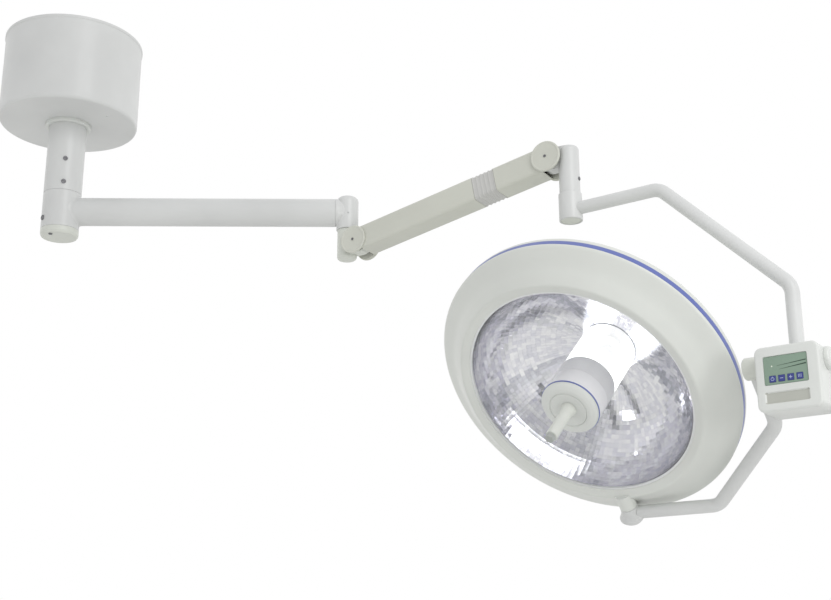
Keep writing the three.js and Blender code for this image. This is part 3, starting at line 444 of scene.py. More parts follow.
GRIP_WHITE = paint("grip_moulding", (0.74, 0.76, 0.71), 0.40, peel_scale=1200)
GRIP_GREY = paint("grip_tip_moulding", (0.42, 0.44, 0.42), 0.45, peel_scale=1200)
BLUE = paint("blue_band", (0.13, 0.17, 0.46), 0.35, peel_scale=900, coat=0.1)
KEY_BLUE = paint("key_blue_moulding", (0.045, 0.06, 0.25), 0.4, **PRINTED)
KEY_MARK = paint("key_mark_print", (0.45, 0.52, 0.72), 0.5, **PRINTED)
FOIL = paint("display_foil", (0.25, 0.35, 0.27), 0.18, **PRINTED, coat=0.4)
FOIL_DARK = paint("display_print", (0.035, 0.07, 0.045), 0.36, **PRINTED)
FOIL_LIGHT = paint("display_lamp", (0.80, 0.85, 0.72), 0.36, **PRINTED)
ZINC = metal("zinc_plate", (0.25, 0.25, 0.26), 0.38)
TURNED_STEEL = metal("turned_steel", (0.50, 0.50, 0.52), 0.36, TURNED_MARKS)
SPRING_WIRE = metal("oiled_spring_wire", (0.26, 0.26, 0.28), 0.36)
PHOSPHATE = metal("phosphated_plate", (0.11, 0.11, 0.12), 0.5, wear=0.3)
BRONZE = metal("turned_bronze", (0.47, 0.34, 0.15), 0.36, TURNED_MARKS)
MIRROR = mirror("faceted_mirror_coat")
CLEAR = glass("clear_front_pane", (0.95, 0.98, 0.98), clear=0.92)
# The heat filter glass glows evenly white though it is no lamp: painted light standing for the bulb's light
# inside it.
FILTER_GLASS_PAINTED_GLOW = glass("heat_filter_glass_painted_glow", (0.97, 0.99, 1.0), glow=0.45)
BULB_GLASS = glass("lamp_glass", (1, 1, 1), glow=14.0)
GLASS_BORDER = paint("white_glass_border", (0.86, 0.87, 0.87), 0.36, **PRINTED)
# A dark grey for the filter cylinder's far rim: painted shade standing for the dark line that the glass edge
# shows.
FILTER_RIM_PAINTED_SHADE = paint("filter_rim_painted_shade", (0.30, 0.31, 0.34), 0.5, peel_scale=1500)


# ---- geometry node trees ----
class Grower:
    """A geometry node tree with named inputs for its sizes, ending in Realize Instances and Set Material."""

    def __init__(self, name, base, **sizes):
        self.tree = bpy.data.node_groups.new(name, "GeometryNodeTree")
        self.ids = {}
        if base:
            self.socket("Geometry", "Geometry")
        for key, value in sizes.items():
            kind = "Int" if isinstance(value, int) else "Float"
            socket = self.socket(key.replace("_", " ").title(), kind)
            socket.default_value = value
            self.ids[key] = socket.identifier
        self.ids["finish"] = self.socket("Finish", "Material").identifier
        self.socket("Geometry", "Geometry", "OUTPUT")
        self.input = self.tree.nodes.new("NodeGroupInput")
        self.output = self.tree.nodes.new("NodeGroupOutput")

    def socket(self, name, kind, side="INPUT"):
        return self.tree.interface.new_socket(name, in_out=side, socket_type="NodeSocket" + kind)

    def size(self, key):
        return self.input.outputs[key.replace("_", " ").title()]

    def node(self, kind, settings=(), **inputs):
        """A node of the tree; a kind without Node in its name is a geometry node."""
        return add(self.tree, kind if "Node" in kind else "GeometryNode" + kind, settings, **inputs)

    def math(self, how, a, b=0.0, c=0.0):
        return self.node("ShaderNodeMath", {"operation": how}, i0=a, i1=b, i2=c)

    def vector(self, **parts):
        return self.node("ShaderNodeCombineXYZ", **parts)

    def raised(self, geometry, height):
        return self.node("Transform", Geometry=geometry,
                         Translation=self.vector(Z=height))

    def cut(self, how, first, second):
        """The exact union of second's pieces, or first with second taken away."""
        node = self.node("MeshBoolean", {"operation": how, "solver": "EXACT"})
        if first is not None:
            self.tree.links.new(first.outputs[0], node.inputs[0])
        self.tree.links.new(second.outputs[0], node.inputs[1])
        return node

    def stored(self, geometry, name, value, domain="FACE"):
        return self.node("StoreNamedAttribute", {"data_type": "FLOAT", "domain": domain},
                         Geometry=geometry, Name=name, Value=value)

    def of_face(self, vector):
        """The vector as it is on each whole face."""
        return self.node("FieldOnDomain", {"domain": "FACE", "data_type": "FLOAT_VECTOR"},
                         i0=vector)

    def end(self, geometry):
        real = self.node("RealizeInstances", Geometry=geometry)
        done = self.node("SetMaterial", Geometry=real, Material=self.size("finish"))
        self.tree.links.new(done.outputs[0], self.output.inputs[0])
        return self

    def grow(self, base, finish, **sizes):
        """The tree's result on a base mesh, as a plain mesh."""
        o = linked("seedling", base or bpy.data.meshes.new("empty"))
        grower = o.modifiers.new("grower", "NODES")
        grower.node_group = self.tree
        for key, value in {**sizes, "finish": finish}.items():
            grower[self.ids[key]] = value
        grown = settled(o)
        bpy.data.objects.remove(o)
        return grown


def fastener_tree():
    """A fastener at each point, along the point's aim: shank, chamfered head, and a slot cut across it."""
    shank_sides, shank_overlap, cutter_share = 24, 0.2, 2.4
    g = Grower("fastener", True, head_radius=5.0, head_height=2.5, shank_radius=3.0, shank_length=10.0,
               head_sides=32, slot_width=1.2, slot_depth=0.8, chamfer=0.5)
    straight = g.math("SUBTRACT", g.size("head_height"), g.size("chamfer"))
    head = g.node("MeshCylinder", i0=g.size("head_sides"), Radius=g.size("head_radius"),
                  Depth=straight)
    head = g.raised(head, g.math("MULTIPLY", straight, 0.5))
    small = g.math("SUBTRACT", g.size("head_radius"), g.size("chamfer"))
    top = g.node("MeshCone", i0=g.size("head_sides"), Radius_Top=small,
                 Radius_Bottom=g.size("head_radius"), Depth=g.size("chamfer"))
    top = g.raised(top, straight)
    shank = g.node("MeshCylinder", i0=shank_sides, Radius=g.size("shank_radius"),
                   Depth=g.size("shank_length"))
    sink = g.math("MULTIPLY", g.size("shank_length"), -0.5)
    shank = g.raised(shank, g.math("ADD", sink, shank_overlap))
    wide = g.math("MULTIPLY", g.size("head_radius"), cutter_share)
    deep = g.math("MULTIPLY", g.size("slot_depth"), 2.0)
    cutter = g.node("MeshCube", Size=g.vector(X=wide, Y=g.size("slot_width"), Z=deep))
    cutter = g.raised(cutter, g.size("head_height"))
    whole = g.node("JoinGeometry")
    for part in (head, top, shank):
        g.tree.links.new(part.outputs[0], whole.inputs[0])
    slotted = g.cut("DIFFERENCE", g.cut("UNION", None, whole), cutter)
    aim = g.node("InputNamedAttribute", {"data_type": "FLOAT_VECTOR"}, Name="aim")
    turn = g.node("FunctionNodeAlignRotationToVector", {"axis": "Z"}, Vector=aim)
    spots = g.node("InstanceOnPoints", Points=g.input, Instance=slotted,
                   Rotation=turn)
    return g.end(spots)


def tube_tree():
    """A round tube along a line of points, each corner bent to one radius."""
    g = Grower("bent_tube", True, tube_radius=15.0, bend_radius=42.0, sides=40, bend_steps=10)
    line = g.node("MeshToCurve", Mesh=g.input)
    bends = g.node("FilletCurve", {"mode": "POLY"}, Curve=line,
                   Count=g.size("bend_steps"), Radius=g.size("bend_radius"))
    circle = g.node("CurvePrimitiveCircle", Resolution=g.size("sides"),
                    Radius=g.size("tube_radius"))
    skin = g.node("CurveToMesh", Curve=bends, Profile_Curve=circle,
                  Fill_Caps=True)
    return g.end(skin)


def coil_tree():
    """A wire wound at one radius along z, with flat capped ends."""
    wire_sides = 12
    g = Grower("wound_coil", False, coil_radius=9.5, wire_radius=2.0, length=200.0, turns=11, steps=40)
    winding = g.node("CurveSpiral", Resolution=g.size("steps"), Rotations=g.size("turns"),
                     Start_Radius=g.size("coil_radius"), End_Radius=g.size("coil_radius"),
                     Height=g.size("length"))
    wire = g.node("CurvePrimitiveCircle", Resolution=wire_sides, Radius=g.size("wire_radius"))
    skin = g.node("CurveToMesh", Curve=winding, Profile_Curve=wire,
                  Fill_Caps=True)
    return g.end(skin)


def rib_tree():
    """One rib repeated along x at an even pitch."""
    g = Grower("rib_row", True, count=6, pitch=11.0, first=0.0)
    row = g.node("MeshLine", {"mode": "OFFSET"}, Count=g.size("count"),
                 Start_Location=g.vector(X=g.size("first")), Offset=g.vector(X=g.size("pitch")))
    spots = g.node("InstanceOnPoints", Points=row, Instance=g.input)
    return g.end(spots)


def facet_tree():
    """A deep bowl with a wall, its inside covered in rings of small flat facets, each leaning its own way.

    Rows of one flat grid run up the inside, then back down the outside, and the last row closes the rim.
    """
    # The sector numbers and the two streak limits shape the dark streaks of painted reflection.
    sector_stretch, sector_ragged, dark_reflection_start, dark_reflection_full = 2.1, 0.4, 0.54, 0.70
    g = Grower("facet_bowl", False, rim_radius=261.0, depth=190.0, hole_angle=84.0, wall=2.0, rim_height=5.0,
               rings=30, facets_around=132, facet_depth=0.6, lean=0.04, gap=0.04, seed=4)
    rows = g.math("MULTIPLY_ADD", g.size("rings"), 2.0, 3.0)
    columns = g.math("ADD", g.size("facets_around"), 1.0)
    grid = g.node("MeshGrid", Vertices_X=rows, Vertices_Y=columns)
    split = g.node("ShaderNodeSeparateXYZ", Vector=g.node("InputPosition"))
    last = g.math("SUBTRACT", rows, 1.0)
    row = g.math("ROUND", g.math("MULTIPLY", g.math("ADD", split.outputs[0], 0.5), last))
    behind = g.math("GREATER_THAN", row, g.math("ADD", g.size("rings"), 0.5))
    closing = g.math("GREATER_THAN", row, g.math("SUBTRACT", last, 0.5))
    outside = g.math("SUBTRACT", behind, closing)
    back_row = g.math("SUBTRACT", g.math("SUBTRACT", last, 1.0), row)
    mixed = g.node("ShaderNodeMix", i0=outside, i2=row, i3=back_row)
    up_row = g.math("MULTIPLY", mixed, g.math("SUBTRACT", 1.0, closing))
    share = g.math("DIVIDE", up_row, g.size("rings"))
    angle = g.math("MULTIPLY", share, g.math("RADIANS", g.size("hole_angle")))
    spare = g.math("MULTIPLY", outside, g.size("wall"))
    radius = g.math("MULTIPLY", g.math("ADD", g.size("rim_radius"), spare), g.math("COSINE", angle))
    high = g.math("MULTIPLY", g.math("ADD", g.size("depth"), spare), g.math("SINE", angle))
    high = g.math("ADD", high, g.size("rim_height"))
    around = g.math("MULTIPLY", g.math("ADD", split.outputs[1], 0.5), 2 * math.pi)
    x = g.math("MULTIPLY", radius, g.math("COSINE", around))
    y = g.math("MULTIPLY", radius, g.math("SINE", around))
    marked = g.stored(grid, "facet_row", row, "POINT")
    bowl = g.node("SetPosition", Geometry=marked, Position=g.vector(X=x, Y=y, Z=high))
    sealed = g.node("MergeByDistance", Geometry=bowl, Distance=0.001)

    row_here = g.node("InputNamedAttribute", {"data_type": "FLOAT"}, Name="facet_row")
    front = g.node("FunctionNodeCompare", {"operation": "LESS_THAN"}, i0=row_here, i1=g.size("rings"))
    # A random tone for each facet, partly painted reflection; then ragged sectors around the axis are marked
    # for dark streaks of painted reflection.
    chance = g.node("FunctionNodeRandomValue", Seed=g.size("seed")).outputs[1]
    toned = g.stored(sealed, "facet_tone", chance)
    sector = g.node("ShaderNodeTexNoise", {"noise_dimensions": "1D"}, Detail=1.0, Scale=1.0)
    centre = g.node("ShaderNodeSeparateXYZ", Vector=g.node("InputPosition"))
    heading = g.math("ARCTAN2", centre.outputs[1], centre.outputs[0])
    ragged = g.math("MULTIPLY_ADD", chance, sector_ragged, g.math("MULTIPLY", heading, sector_stretch))
    plug(g.tree, sector, W=ragged)
    streak = g.node("ShaderNodeMapRange", i0=sector, i1=dark_reflection_start, i2=dark_reflection_full, i3=0.0, i4=1.0)
    reflection_painted = g.stored(toned, "facet_painted_reflection", streak)

    tiles = g.node("ExtrudeMesh", {"mode": "FACES"}, Mesh=reflection_painted,
                   Selection=front, Offset_Scale=g.size("facet_depth"), Individual=True)
    scaled = g.node("ScaleElements", {"domain": "FACE"}, Geometry=tiles,
                    Selection=tiles.outputs[1], Scale=g.math("SUBTRACT", 1.0, g.size("gap")))
    place = g.node("InputPosition")
    facing = g.of_face(g.node("InputNormal"))
    way = g.node("FunctionNodeRandomValue", {"data_type": "FLOAT_VECTOR"}, i0=(-1, -1, -1), i1=(1, 1, 1),
                 Seed=g.size("seed"))
    off = g.node("ShaderNodeVectorMath", {"operation": "SUBTRACT"}, i0=place, i1=g.of_face(place))
    tip = g.node("ShaderNodeVectorMath", {"operation": "DOT_PRODUCT"}, i0=off,
                 i1=g.of_face(way))
    tip = g.math("MULTIPLY", tip.outputs["Value"], g.size("lean"))
    push = g.node("ShaderNodeVectorMath", {"operation": "SCALE"}, i0=facing, Scale=tip)
    leaning = g.node("SetPosition", Geometry=scaled, Selection=tiles.outputs[1],
                     Offset=push)
    return g.end(leaning)


FASTENER = fastener_tree()
TUBE = tube_tree()
COIL = coil_tree()
RIBS = rib_tree()
FACETS = facet_tree()


def fastener(node, place, spot, aim, **sizes):
    """One plated fastener of the tree, its head standing on spot and facing along aim."""
    point = bpy.data.meshes.new("spot")
    point.from_pydata([spot], [], [])
    point.attributes.new("aim", "FLOAT_VECTOR", "POINT").data[0].vector = aim
    return piece(node, FASTENER.grow(point, ZINC, **sizes), place, None, crease=30)


def tube(node, place, corners, look):
    line = bpy.data.meshes.new("line")
    line.from_pydata(corners, [(i, i + 1) for i in range(len(corners) - 1)], [])
    return piece(node, TUBE.grow(line, look), place, None, crease=40)


# ---- ceiling canopy and column ----
ANCHOR_CIRCLE, ANCHOR_START = 115, 45
COLUMN_FACE = 47.4


def ring_spots(radius, count, start=0):
    """Spots evenly spaced on a circle about z, the first at start degrees."""
    angles = [math.radians(start + 360 / count * i) for i in range(count)]
    return [(radius * math.cos(a), radius * math.sin(a)) for a in angles]


def build_ceiling():
    canopy = turned([
        (172.5, -1), (172.5, -224, 5), (169, -227.5, 3), (54, -227.5), (54, -230),
        (171, -230, 4), (175, -224, 4), (175, -9, 2), (177, -7, 1), (177, -1),
    ], 160)
    dimple = moved(rod(2.2, -240, -228.8, 20), 112, -58)
    piece("ceiling_canopy", carved(canopy, dimple), CEILING, ENAMEL)
    piece("canopy_collar", turned([
        (47.8, -230.3), (47.8, -239.3, 1), (56, -239.3, 2), (58, -237, 1.5), (58, -230.3),
    ], 128), CEILING, HOUSING)
    column = turned([
        (0, -12), (42.5, -12), (42.5, -424), (47.5, -424, 0.8), (47.5, -12.5, 0.4),
        (140, -12, 1), (140, 0, 1), (0, 0),
    ], 128)
    anchors = ring_spots(ANCHOR_CIRCLE, 4, ANCHOR_START)
    for x, y in anchors:
        column = carved(column, moved(rod(6.5, -20, 5, 32), x, y))
    column = carved(column, moved(rod(12, -30, 5, 32), 22, 0))
    piece("column_tube", column, CEILING, ENAMEL)
    for i, (x, y) in enumerate(anchors, 1):
        fastener(f"anchor_bolt_{i}", CEILING, (x, y, -12.3), (0, 0, -1), head_radius=11.0, head_height=8.0,
                 shank_radius=6.0, shank_length=12.0, head_sides=6, slot_width=0.01, slot_depth=0.01,
                 chamfer=1.2)
    for name, height in (("column_screw_upper", 129), ("column_screw_lower", 66)):
        screw_on_column(name, -75, height, 6.0, 2.5)


def screw_on_column(node, azimuth, height, head_radius, head_height):
    a = math.radians(azimuth)
    out = Vector((math.cos(a), math.sin(a), 0))
    fastener(node, ARM, (*(out * COLUMN_FACE).xy, height), out, head_radius=head_radius,
             head_height=head_height, shank_radius=4.0, shank_length=20.0, slot_width=1.4, slot_depth=1.0)


# ---- horizontal arm ----
def build_horizontal_arm():
    hub = turned([
        (23, 45.7), (23, 36.3), (34.3, 36.3), (34.3, -51), (47.5, -51, 0.8), (47.5, 45.7, 1.2),
    ], 128)
    piece("arm_hub", hub, ARM, ENAMEL)
    piece("hub_end_cap", turned([
        (0, -56.3), (42.5, -56.3), (42.5, -51.3), (47.5, -51.3, 0.8), (47.5, -64, 5),
        (44, -69.2, 2.5), (41.5, -70, 1), (40.5, -69.2, 1), (0, -69.2),
    ], 128), ARM, KNUCKLE_ENAMEL)
    screw_on_column("brake_screw", 220, -27, 6.5, 3.0)
    fastener("hub_cap_screw", ARM, (-14, -30, -69.2), (0, 0, -1), head_height=2.3, shank_radius=2.5,
             shank_length=8.0, slot_width=1.0)
    piece("arm_tube", arm_tube(), ARM, ENAMEL)
    piece("end_hub", end_hub(), ARM @ Matrix.Translation((ARM_LENGTH * MM, 0, 0)), ENAMEL, crease=28)


def arm_tube():
    """The arm's tube, its near end flared onto the round hub like a filled weld."""
    steps, end, hub_skin = 96, ARM_LENGTH - 30, 47.7
    loops = []
    for r, back in ((33, 0.0), (39.2, 0.0), (37.6, 1.2), (36.5, 3.0), (36, 6.0)):
        loop = []
        for k in range(steps):
            a = 2 * math.pi * k / steps
            y, z = r * math.cos(a), r * math.sin(a)
            loop.append((math.sqrt(hub_skin ** 2 - y * y) + back, y, z))
        loops.append(loop)
    for r, x in ((36, end - 0.8), (35.2, end), (33, end)):
        loops.append([(x, r * math.cos(2 * math.pi * k / steps), r * math.sin(2 * math.pi * k / steps))
                      for k in range(steps)])
    return skinned(loops, closed=True)


def end_hub():
    """The upright hub at the arm's far end, with the tube's tapered plug running into it."""
    hub = turned([
        (0, -48), (28, -48, 0.8), (28, 34, 6), (21, 41.5, 5), (8, 43, 6), (0, 43),
    ], 96)
    plug = turned([
        (0, -52), (32.7, -52, 1), (32.7, -29.7), (36, -29.7, 0.8), (35.6, -23, 3), (27, -4, 6), (22, 0),
        (0, 0),
    ], 96, ALONG_X)
    whole = fused(hub, plug)
    whole = carved(whole, rod(20.3, -60, 24, 64))
    dimple = moved(rod(2.3, 0, 4, 20, ALONG_X), spin=Matrix.Rotation(math.radians(-84), 4, "Z"))
    dimple.transform(Matrix.Translation((2.5, -25.5, -9)))
    return carved(whole, dimple)


# ---- swivel knuckle ----
TONGUE_HALF, TONGUE_R, EYE_R, ROD_RISE = 15, 27, 10, 23
SLOT_HALF, SLOT_REACH, SLOT_TOP = 4.5, 40, 43
EYE_START, EYE_FLOOR, NOSE_START, NOSE_FLOOR = -12, 12, 3, -16


def tongue(sign):
    """The flat tongue of a hinge at the origin, running back to the upright body, slotted for the rod."""
    end = -sign * (HINGE_OFFSET - 5)
    blade = moved(rod(TONGUE_R, -TONGUE_HALF, TONGUE_HALF, 96, ALONG_Y))
    block = upright_block(0, end, TONGUE_HALF, -TONGUE_R, 26)
    eye = moved(rod(EYE_R, -TONGUE_HALF, TONGUE_HALF, 48, ALONG_Y), z=ROD_RISE)
    whole = fused(blade, block, eye)
    for start, floor in ((EYE_START, EYE_FLOOR), (NOSE_START, NOSE_FLOOR)):
        whole = carved(whole, upright_block(sign * SLOT_REACH, sign * start, SLOT_HALF, floor, SLOT_TOP))
    whole = carved(whole, rod(8.3, -40, 40, 48, ALONG_Y))
    return carved(whole, moved(rod(3.3, -20, 20, 32, ALONG_Y), z=ROD_RISE))


def upright_block(x0, x1, half_y, z0, z1):
    corners = ((-half_y, z0), (half_y, z0), (half_y, z1), (-half_y, z1))
    return skinned([[(x, y, z) for y, z in corners] for x in sorted((x0, x1))])


def hinge_pin():
    return turned([(0, -26), (8, -26, 1), (8, 26, 1), (0, 26)], 48, ALONG_Y)


def build_knuckle():
    body = turned([
        (0, -128), (20, -128, 3), (25, -123, 3), (25, -48.3, 0.8), (20, -48.3), (20, 20, 1), (0, 20),
    ], 96)
    blade = moved(tongue(1), HINGE_OFFSET, 0, KNUCKLE_HINGE_Z)
    piece("lower_knuckle", bevelled(fused(body, blade), 0.5), KNUCKLE, KNUCKLE_ENAMEL, crease=30)
    piece("lower_hinge_pin", moved(hinge_pin(), HINGE_OFFSET, 0, KNUCKLE_HINGE_Z), KNUCKLE, TURNED_STEEL)


# ---- spring arm ----
CASE_W, CASE_H, CASE_R, CASE_WALL = 32, 31, 9, 3
CASE_START, LONG_END, CORE_START, CORE_END, SHORT_START = 18, 351.7, 352, 412, 412.3
RIB_COUNT, RIB_PITCH, RIB_DIP = 6, 11.2, 1.6


def shell(x0, x1, grow=0.0):
    """A hollow length of the arm's casing with soft ends."""
    w, h, r, t = CASE_W + grow, CASE_H + grow, CASE_R, CASE_WALL
    inner = (CASE_W - t, CASE_H - t, r - t)
    soft = 0.6
    sections = [(x0, w - soft, h - soft, r), (x0 + soft, w, h, r), (x1 - soft, w, h, r),
                (x1, w - soft, h - soft, r), (x1, *inner), (x0, *inner)]
    return skinned(bar(sections, 8), closed=True)


def side_disc(x, r, y0, y1, edge=1.5):
    low, high = sorted((y0, y1))
    return moved(turned([(0, low), (r, low, edge), (r, high, edge), (0, high)], 96, ALONG_Y), x)


def casing(x0, x1, hinge, r, rear):
    """A length of casing with a round cheek each side of its hinge; the rear cheek carries a raised disc."""
    whole = fused(shell(x0, x1), side_disc(hinge, r, -32, -28, 0.6), side_disc(hinge, r, 28, 32, 0.6),
                  side_disc(hinge, rear, 31, 36, 2))
    return carved(whole, moved(rod(2.3, -40, -26, 20, ALONG_Y), hinge))


def cover(x, r):
    disc = turned([
        (2.3, -32.3), (2.3, -37.2, 0.3), (r - 5.5, -37.2, 0.6), (r - 4, -38, 0.8), (r - 1.5, -38, 1.2),
        (r, -36.5, 1.2), (r, -32.3, 0.4),
    ], 96, ALONG_Y)
    return moved(disc, x)


def build_spring_arm():
    end = SPRING_LENGTH
    long_part = casing(CASE_START, LONG_END, 0, 34, 36)
    short_part = casing(SHORT_START, end - CASE_START, end, 35, 37)
    piece("arm_casing_long", long_part, SPRING_ARM, CASING, crease=30)
    piece("arm_casing_short", short_part, SPRING_ARM, CASING, crease=30)
    core = shell(CORE_START, CORE_END, -1.2)
    low = (CASE_W - RIB_DIP, CASE_H - RIB_DIP, CASE_R)
    rib = skinned(bar([(0, *low), (0.9, 31.8, 30.8, 9), (2, CASE_W, CASE_H, CASE_R), (3.1, 31.8, 30.8, 9),
                       (4, *low), (4, 30, 29, 7), (0, 30, 29, 7)], 8), closed=True)
    ribs = RIBS.grow(rib, RIB_SKIN, count=RIB_COUNT, pitch=RIB_PITCH, first=float(CORE_START))
    bm = bmesh.new()
    bm.from_mesh(core)
    bm.from_mesh(ribs)
    piece("ribbed_sleeve", to_mesh(bm), SPRING_ARM, RIB_SKIN)
    for name, x, r in (("lower_cover", 0, 36), ("upper_cover", end, 37)):
        piece(name, cover(x, r), SPRING_ARM, CASING, crease=25)
        fastener(name + "_screw", SPRING_ARM, (x, -37.4, 0), (0, -1, 0), head_radius=3.4, head_height=1.3,
                 shank_radius=2.0, shank_length=9.0, slot_width=0.9, slot_depth=0.6, chamfer=0.4)
    coil = COIL.grow(None, SPRING_WIRE, coil_radius=9.5, wire_radius=2.0, length=205.7, turns=11, steps=24)
    coil.transform(Matrix.Translation((94.3, 0, -2)) @ ALONG_X)
    piece("balance_spring", coil, SPRING_ARM, None, crease=50)
    rod_mesh = turned([(0, 0), (3.5, 0), (3.5, end), (0, end)], 32, ALONG_X)
    for x in (0, end):
        eye = moved(turned([(0, -4), (6, -4, 0.6), (6, 4, 0.6), (0, 4)], 40, ALONG_Y), x)
        pin = moved(turned([(0, -9), (3, -9, 0.5), (3, 9, 0.5), (0, 9)], 32, ALONG_Y), x)
        rod_mesh = fused(rod_mesh, eye, pin)
    piece("levelling_rod", rod_mesh, LINK, TURNED_STEEL)


# ---- drop post ----
def build_post():
    body = turned([
        (0, 32), (15, 32, 4), (21.5, 30.5, 4), (24, 25, 5), (24, -85, 0.8), (0, -85),
    ], 96)
    blade = moved(tongue(-1), -HINGE_OFFSET, 0, POST_HINGE_Z)
    body = carved(fused(body, blade), rod(15, -90, -38, 64))
    piece("post_knuckle", bevelled(body, 0.5), POST, ENAMEL, crease=30)
    fastener("post_screw", POST, (23.9, 0, -51), (1, 0, 0), head_radius=4.5, head_height=2.0,
             shank_length=8.0, slot_width=1.0)
    piece("upper_hinge_pin", moved(hinge_pin(), -HINGE_OFFSET, 0, POST_HINGE_Z), POST, TURNED_STEEL)


# ---- outer yoke and control box ----
TUBE_Z, TUBE_DROP = -123, 271


def build_outer_yoke():
    piece("yoke_sleeve", turned([
        (0, -130), (23.3, -130), (23.3, -150), (27, -150, 1.5), (27, -85.3, 1), (14.7, -85.3), (14.7, -41),
        (0, -41),
    ], 96), YOKE, ENAMEL)
    piece("yoke_end_cap", turned([
        (0, -145), (16, -145), (16, -136), (20, -136), (20, -145), (23, -145), (23, -149, 1),
        (19, -148.6, 1), (0, -148.2),
    ], 96), YOKE, KNUCKLE_ENAMEL)
    box_top = GIMBAL_DROP + 27
    corners = [(20, 0, TUBE_Z), (219, 0, TUBE_Z), (490, 0, TUBE_Z - TUBE_DROP), (490, 0, box_top - 6)]
    tube("outer_yoke_tube", YOKE, corners, ENAMEL)
    build_control_box()


WINDOW_X, WINDOW_Z, TRAY_Z, KEY_Z, KEY_PITCH = -3, 16, -38, -1, 18
PRINT_FRONT, MARK_FRONT, PRINT_DEEP, MARK_OVERLAP = -50.05, -50.95, 0.3, 0.02


def build_control_box():
    case = skinned(plate([(45, 52, 53, 8), (44, 58, 59, 11), (41, 62, 63, 13), (36, 64, 65, 14),
                          (-45, 64, 65, 14), (-45, 61, 62, 11), (42, 61, 62, 11)], 8))
    case = carved(case, moved(rod(12.6, -75, -55, 48, ALONG_X), z=AXLE_RISE))
    piece("control_case", case, PANEL, HOUSING, crease=30)
    face = skinned(soft_plate(64, 65, 14, -45.3, -51.5, 4.5, 8))
    window = plate([(-60, 45.5, 30.5, 4), (-51.5, 44.2, 29.2, 3.2), (-49.5, 43.5, 28.5, 3),
                    (-40, 43.5, 28.5, 3)])
    face = carved(face, moved(skinned(window), WINDOW_X, 0, WINDOW_Z))
    tray = plate([(-60, 45.5, 12.5, 5), (-51.5, 44.5, 11.5, 4), (-49, 42, 9.5, 3)])
    face = carved(face, moved(skinned(tray), WINDOW_X, 0, TRAY_Z))

    def in_tray(p):
        return -51.2 < p.y < -48.6 and abs(p.x - WINDOW_X) < 43 and abs(p.z - TRAY_Z) < 10.5

    piece("control_frame", face, PANEL, HOUSING, crease=30, tint=(TRAY, in_tray))
    build_display()
    cap = turned([(0, 64.3), (23, 64.3), (23, 71, 3), (19, 75, 4), (0, 76)], 96, ALONG_X)
    piece("side_cap", moved(cap, z=AXLE_RISE), PANEL, HOUSING)


def strip(x0, z0, x1, z1, w0, w1, front):
    """A thin printed strip that runs from one point of the panel to another, facing -y."""
    start, stop = Vector((x0, z0)), Vector((x1, z1))
    along = (stop - start).normalized()
    side = Vector((-along.y, along.x))
    corners = [start + side * w0 / 2, start - side * w0 / 2, stop - side * w1 / 2, stop + side * w1 / 2]
    return skinned([[(c.x, y, c.y) for c in corners] for y in (front + PRINT_DEEP, front)])


def round_print(x, z, r0, r1, front):
    """A thin printed ring, or a dot where r0 is 0, facing -y."""
    back = front + PRINT_DEEP
    return moved(turned([(r0, front), (r1, front), (r1, back), (r0, back)], 24, ALONG_Y), x, 0, z)


def merged(*groups):
    """One mesh of groups of pieces, each group with a finish of its own."""
    bm = bmesh.new()
    for index, (meshes, _) in enumerate(groups):
        for mesh in meshes:
            before = len(bm.faces)
            bm.from_mesh(mesh)
            bm.faces.ensure_lookup_table()
            for face in bm.faces[before:]:
                face.material_index = index
    whole = plain(bm)
    for _, look in groups:
        whole.materials.append(look)
    return whole


def build_display():
    """The foil window with its level wedge and lamp, and four keys with plain marks."""
    pane = moved(skinned(soft_plate(43.2, 28.2, 2.7, -46, -50, 0.4, 4)), WINDOW_X, 0, WINDOW_Z)
    keys = [WINDOW_X + (i - 1.5) * KEY_PITCH for i in range(4)]
    for x in keys:
        key_hole = skinned(plate([(-60, 6.8, 6.8, 1.2), (-40, 6.8, 6.8, 1.2)], 3))
        pane = carved(pane, moved(key_hole, x, 0, KEY_Z))
    wedge = [strip(-20, 24.5, 38, 29.5, 0.5, 2.2, PRINT_FRONT),
             strip(-16, 17, 38, 22.5, 0.4, 2.6, PRINT_FRONT)]
    lamps = [round_print(-30, 24.5, 0, 1.5, PRINT_FRONT)]
    whole = merged(([pane], FOIL), (wedge, FOIL_DARK), (lamps, FOIL_LIGHT))
    piece("display_window", whole, PANEL, None, crease=30)
    over = MARK_FRONT - MARK_OVERLAP
    marks = [
        [round_print(0, 0, 2.6, 3.5, MARK_FRONT), strip(0, 1.2, 0, 4.6, 1.0, 1.0, over)],
        [strip(-3.2, 0, 3.2, 0, 1.2, 1.2, MARK_FRONT)],
        [strip(-3.2, 0, 3.2, 0, 1.2, 1.2, MARK_FRONT), strip(0, -3.2, 0, 3.2, 1.2, 1.2, over)],
        [strip(x, -3.2, x, 3.2, 1.0, 1.0, MARK_FRONT) for x in (-2.6, 0, 2.6)],
    ]
    for i, x in enumerate(keys):
        key = skinned(soft_plate(6.5, 6.5, 1.5, -46.6, -50.9, 0.7, 4))
        whole = merged(([key], KEY_BLUE), (marks[i], KEY_MARK))
        piece(f"key_{i + 1}", moved(whole, x, 0, KEY_Z), PANEL, None, crease=30)


# ---- inner yoke ----
def build_inner_yoke():
    piece("yoke_stub", turned([
        (0, 379), (20, 379, 2), (23, 382, 2), (23, 417.7, 0.5), (12, 417.7), (12, 443.7, 1), (5, 443.7),
        (5, 391), (0, 391),
    ], 96, ALONG_X), INNER, KNUCKLE_ENAMEL)
    tube("inner_yoke_tube", INNER, [(400, 18, 0), (400, 140, 0), (210, 330, 0), (20, 330, 0)], ENAMEL)
    boss = turned([
        (0, 338.3), (12.3, 338.3), (12.3, 313), (20, 313, 2), (22, 325, 3), (30, 335, 4), (30, 341, 3),
        (22, 350, 5), (14, 356, 5), (0, 357),
    ], 96, ALONG_Y)
    piece("pivot_boss", boss, INNER, ENAMEL)


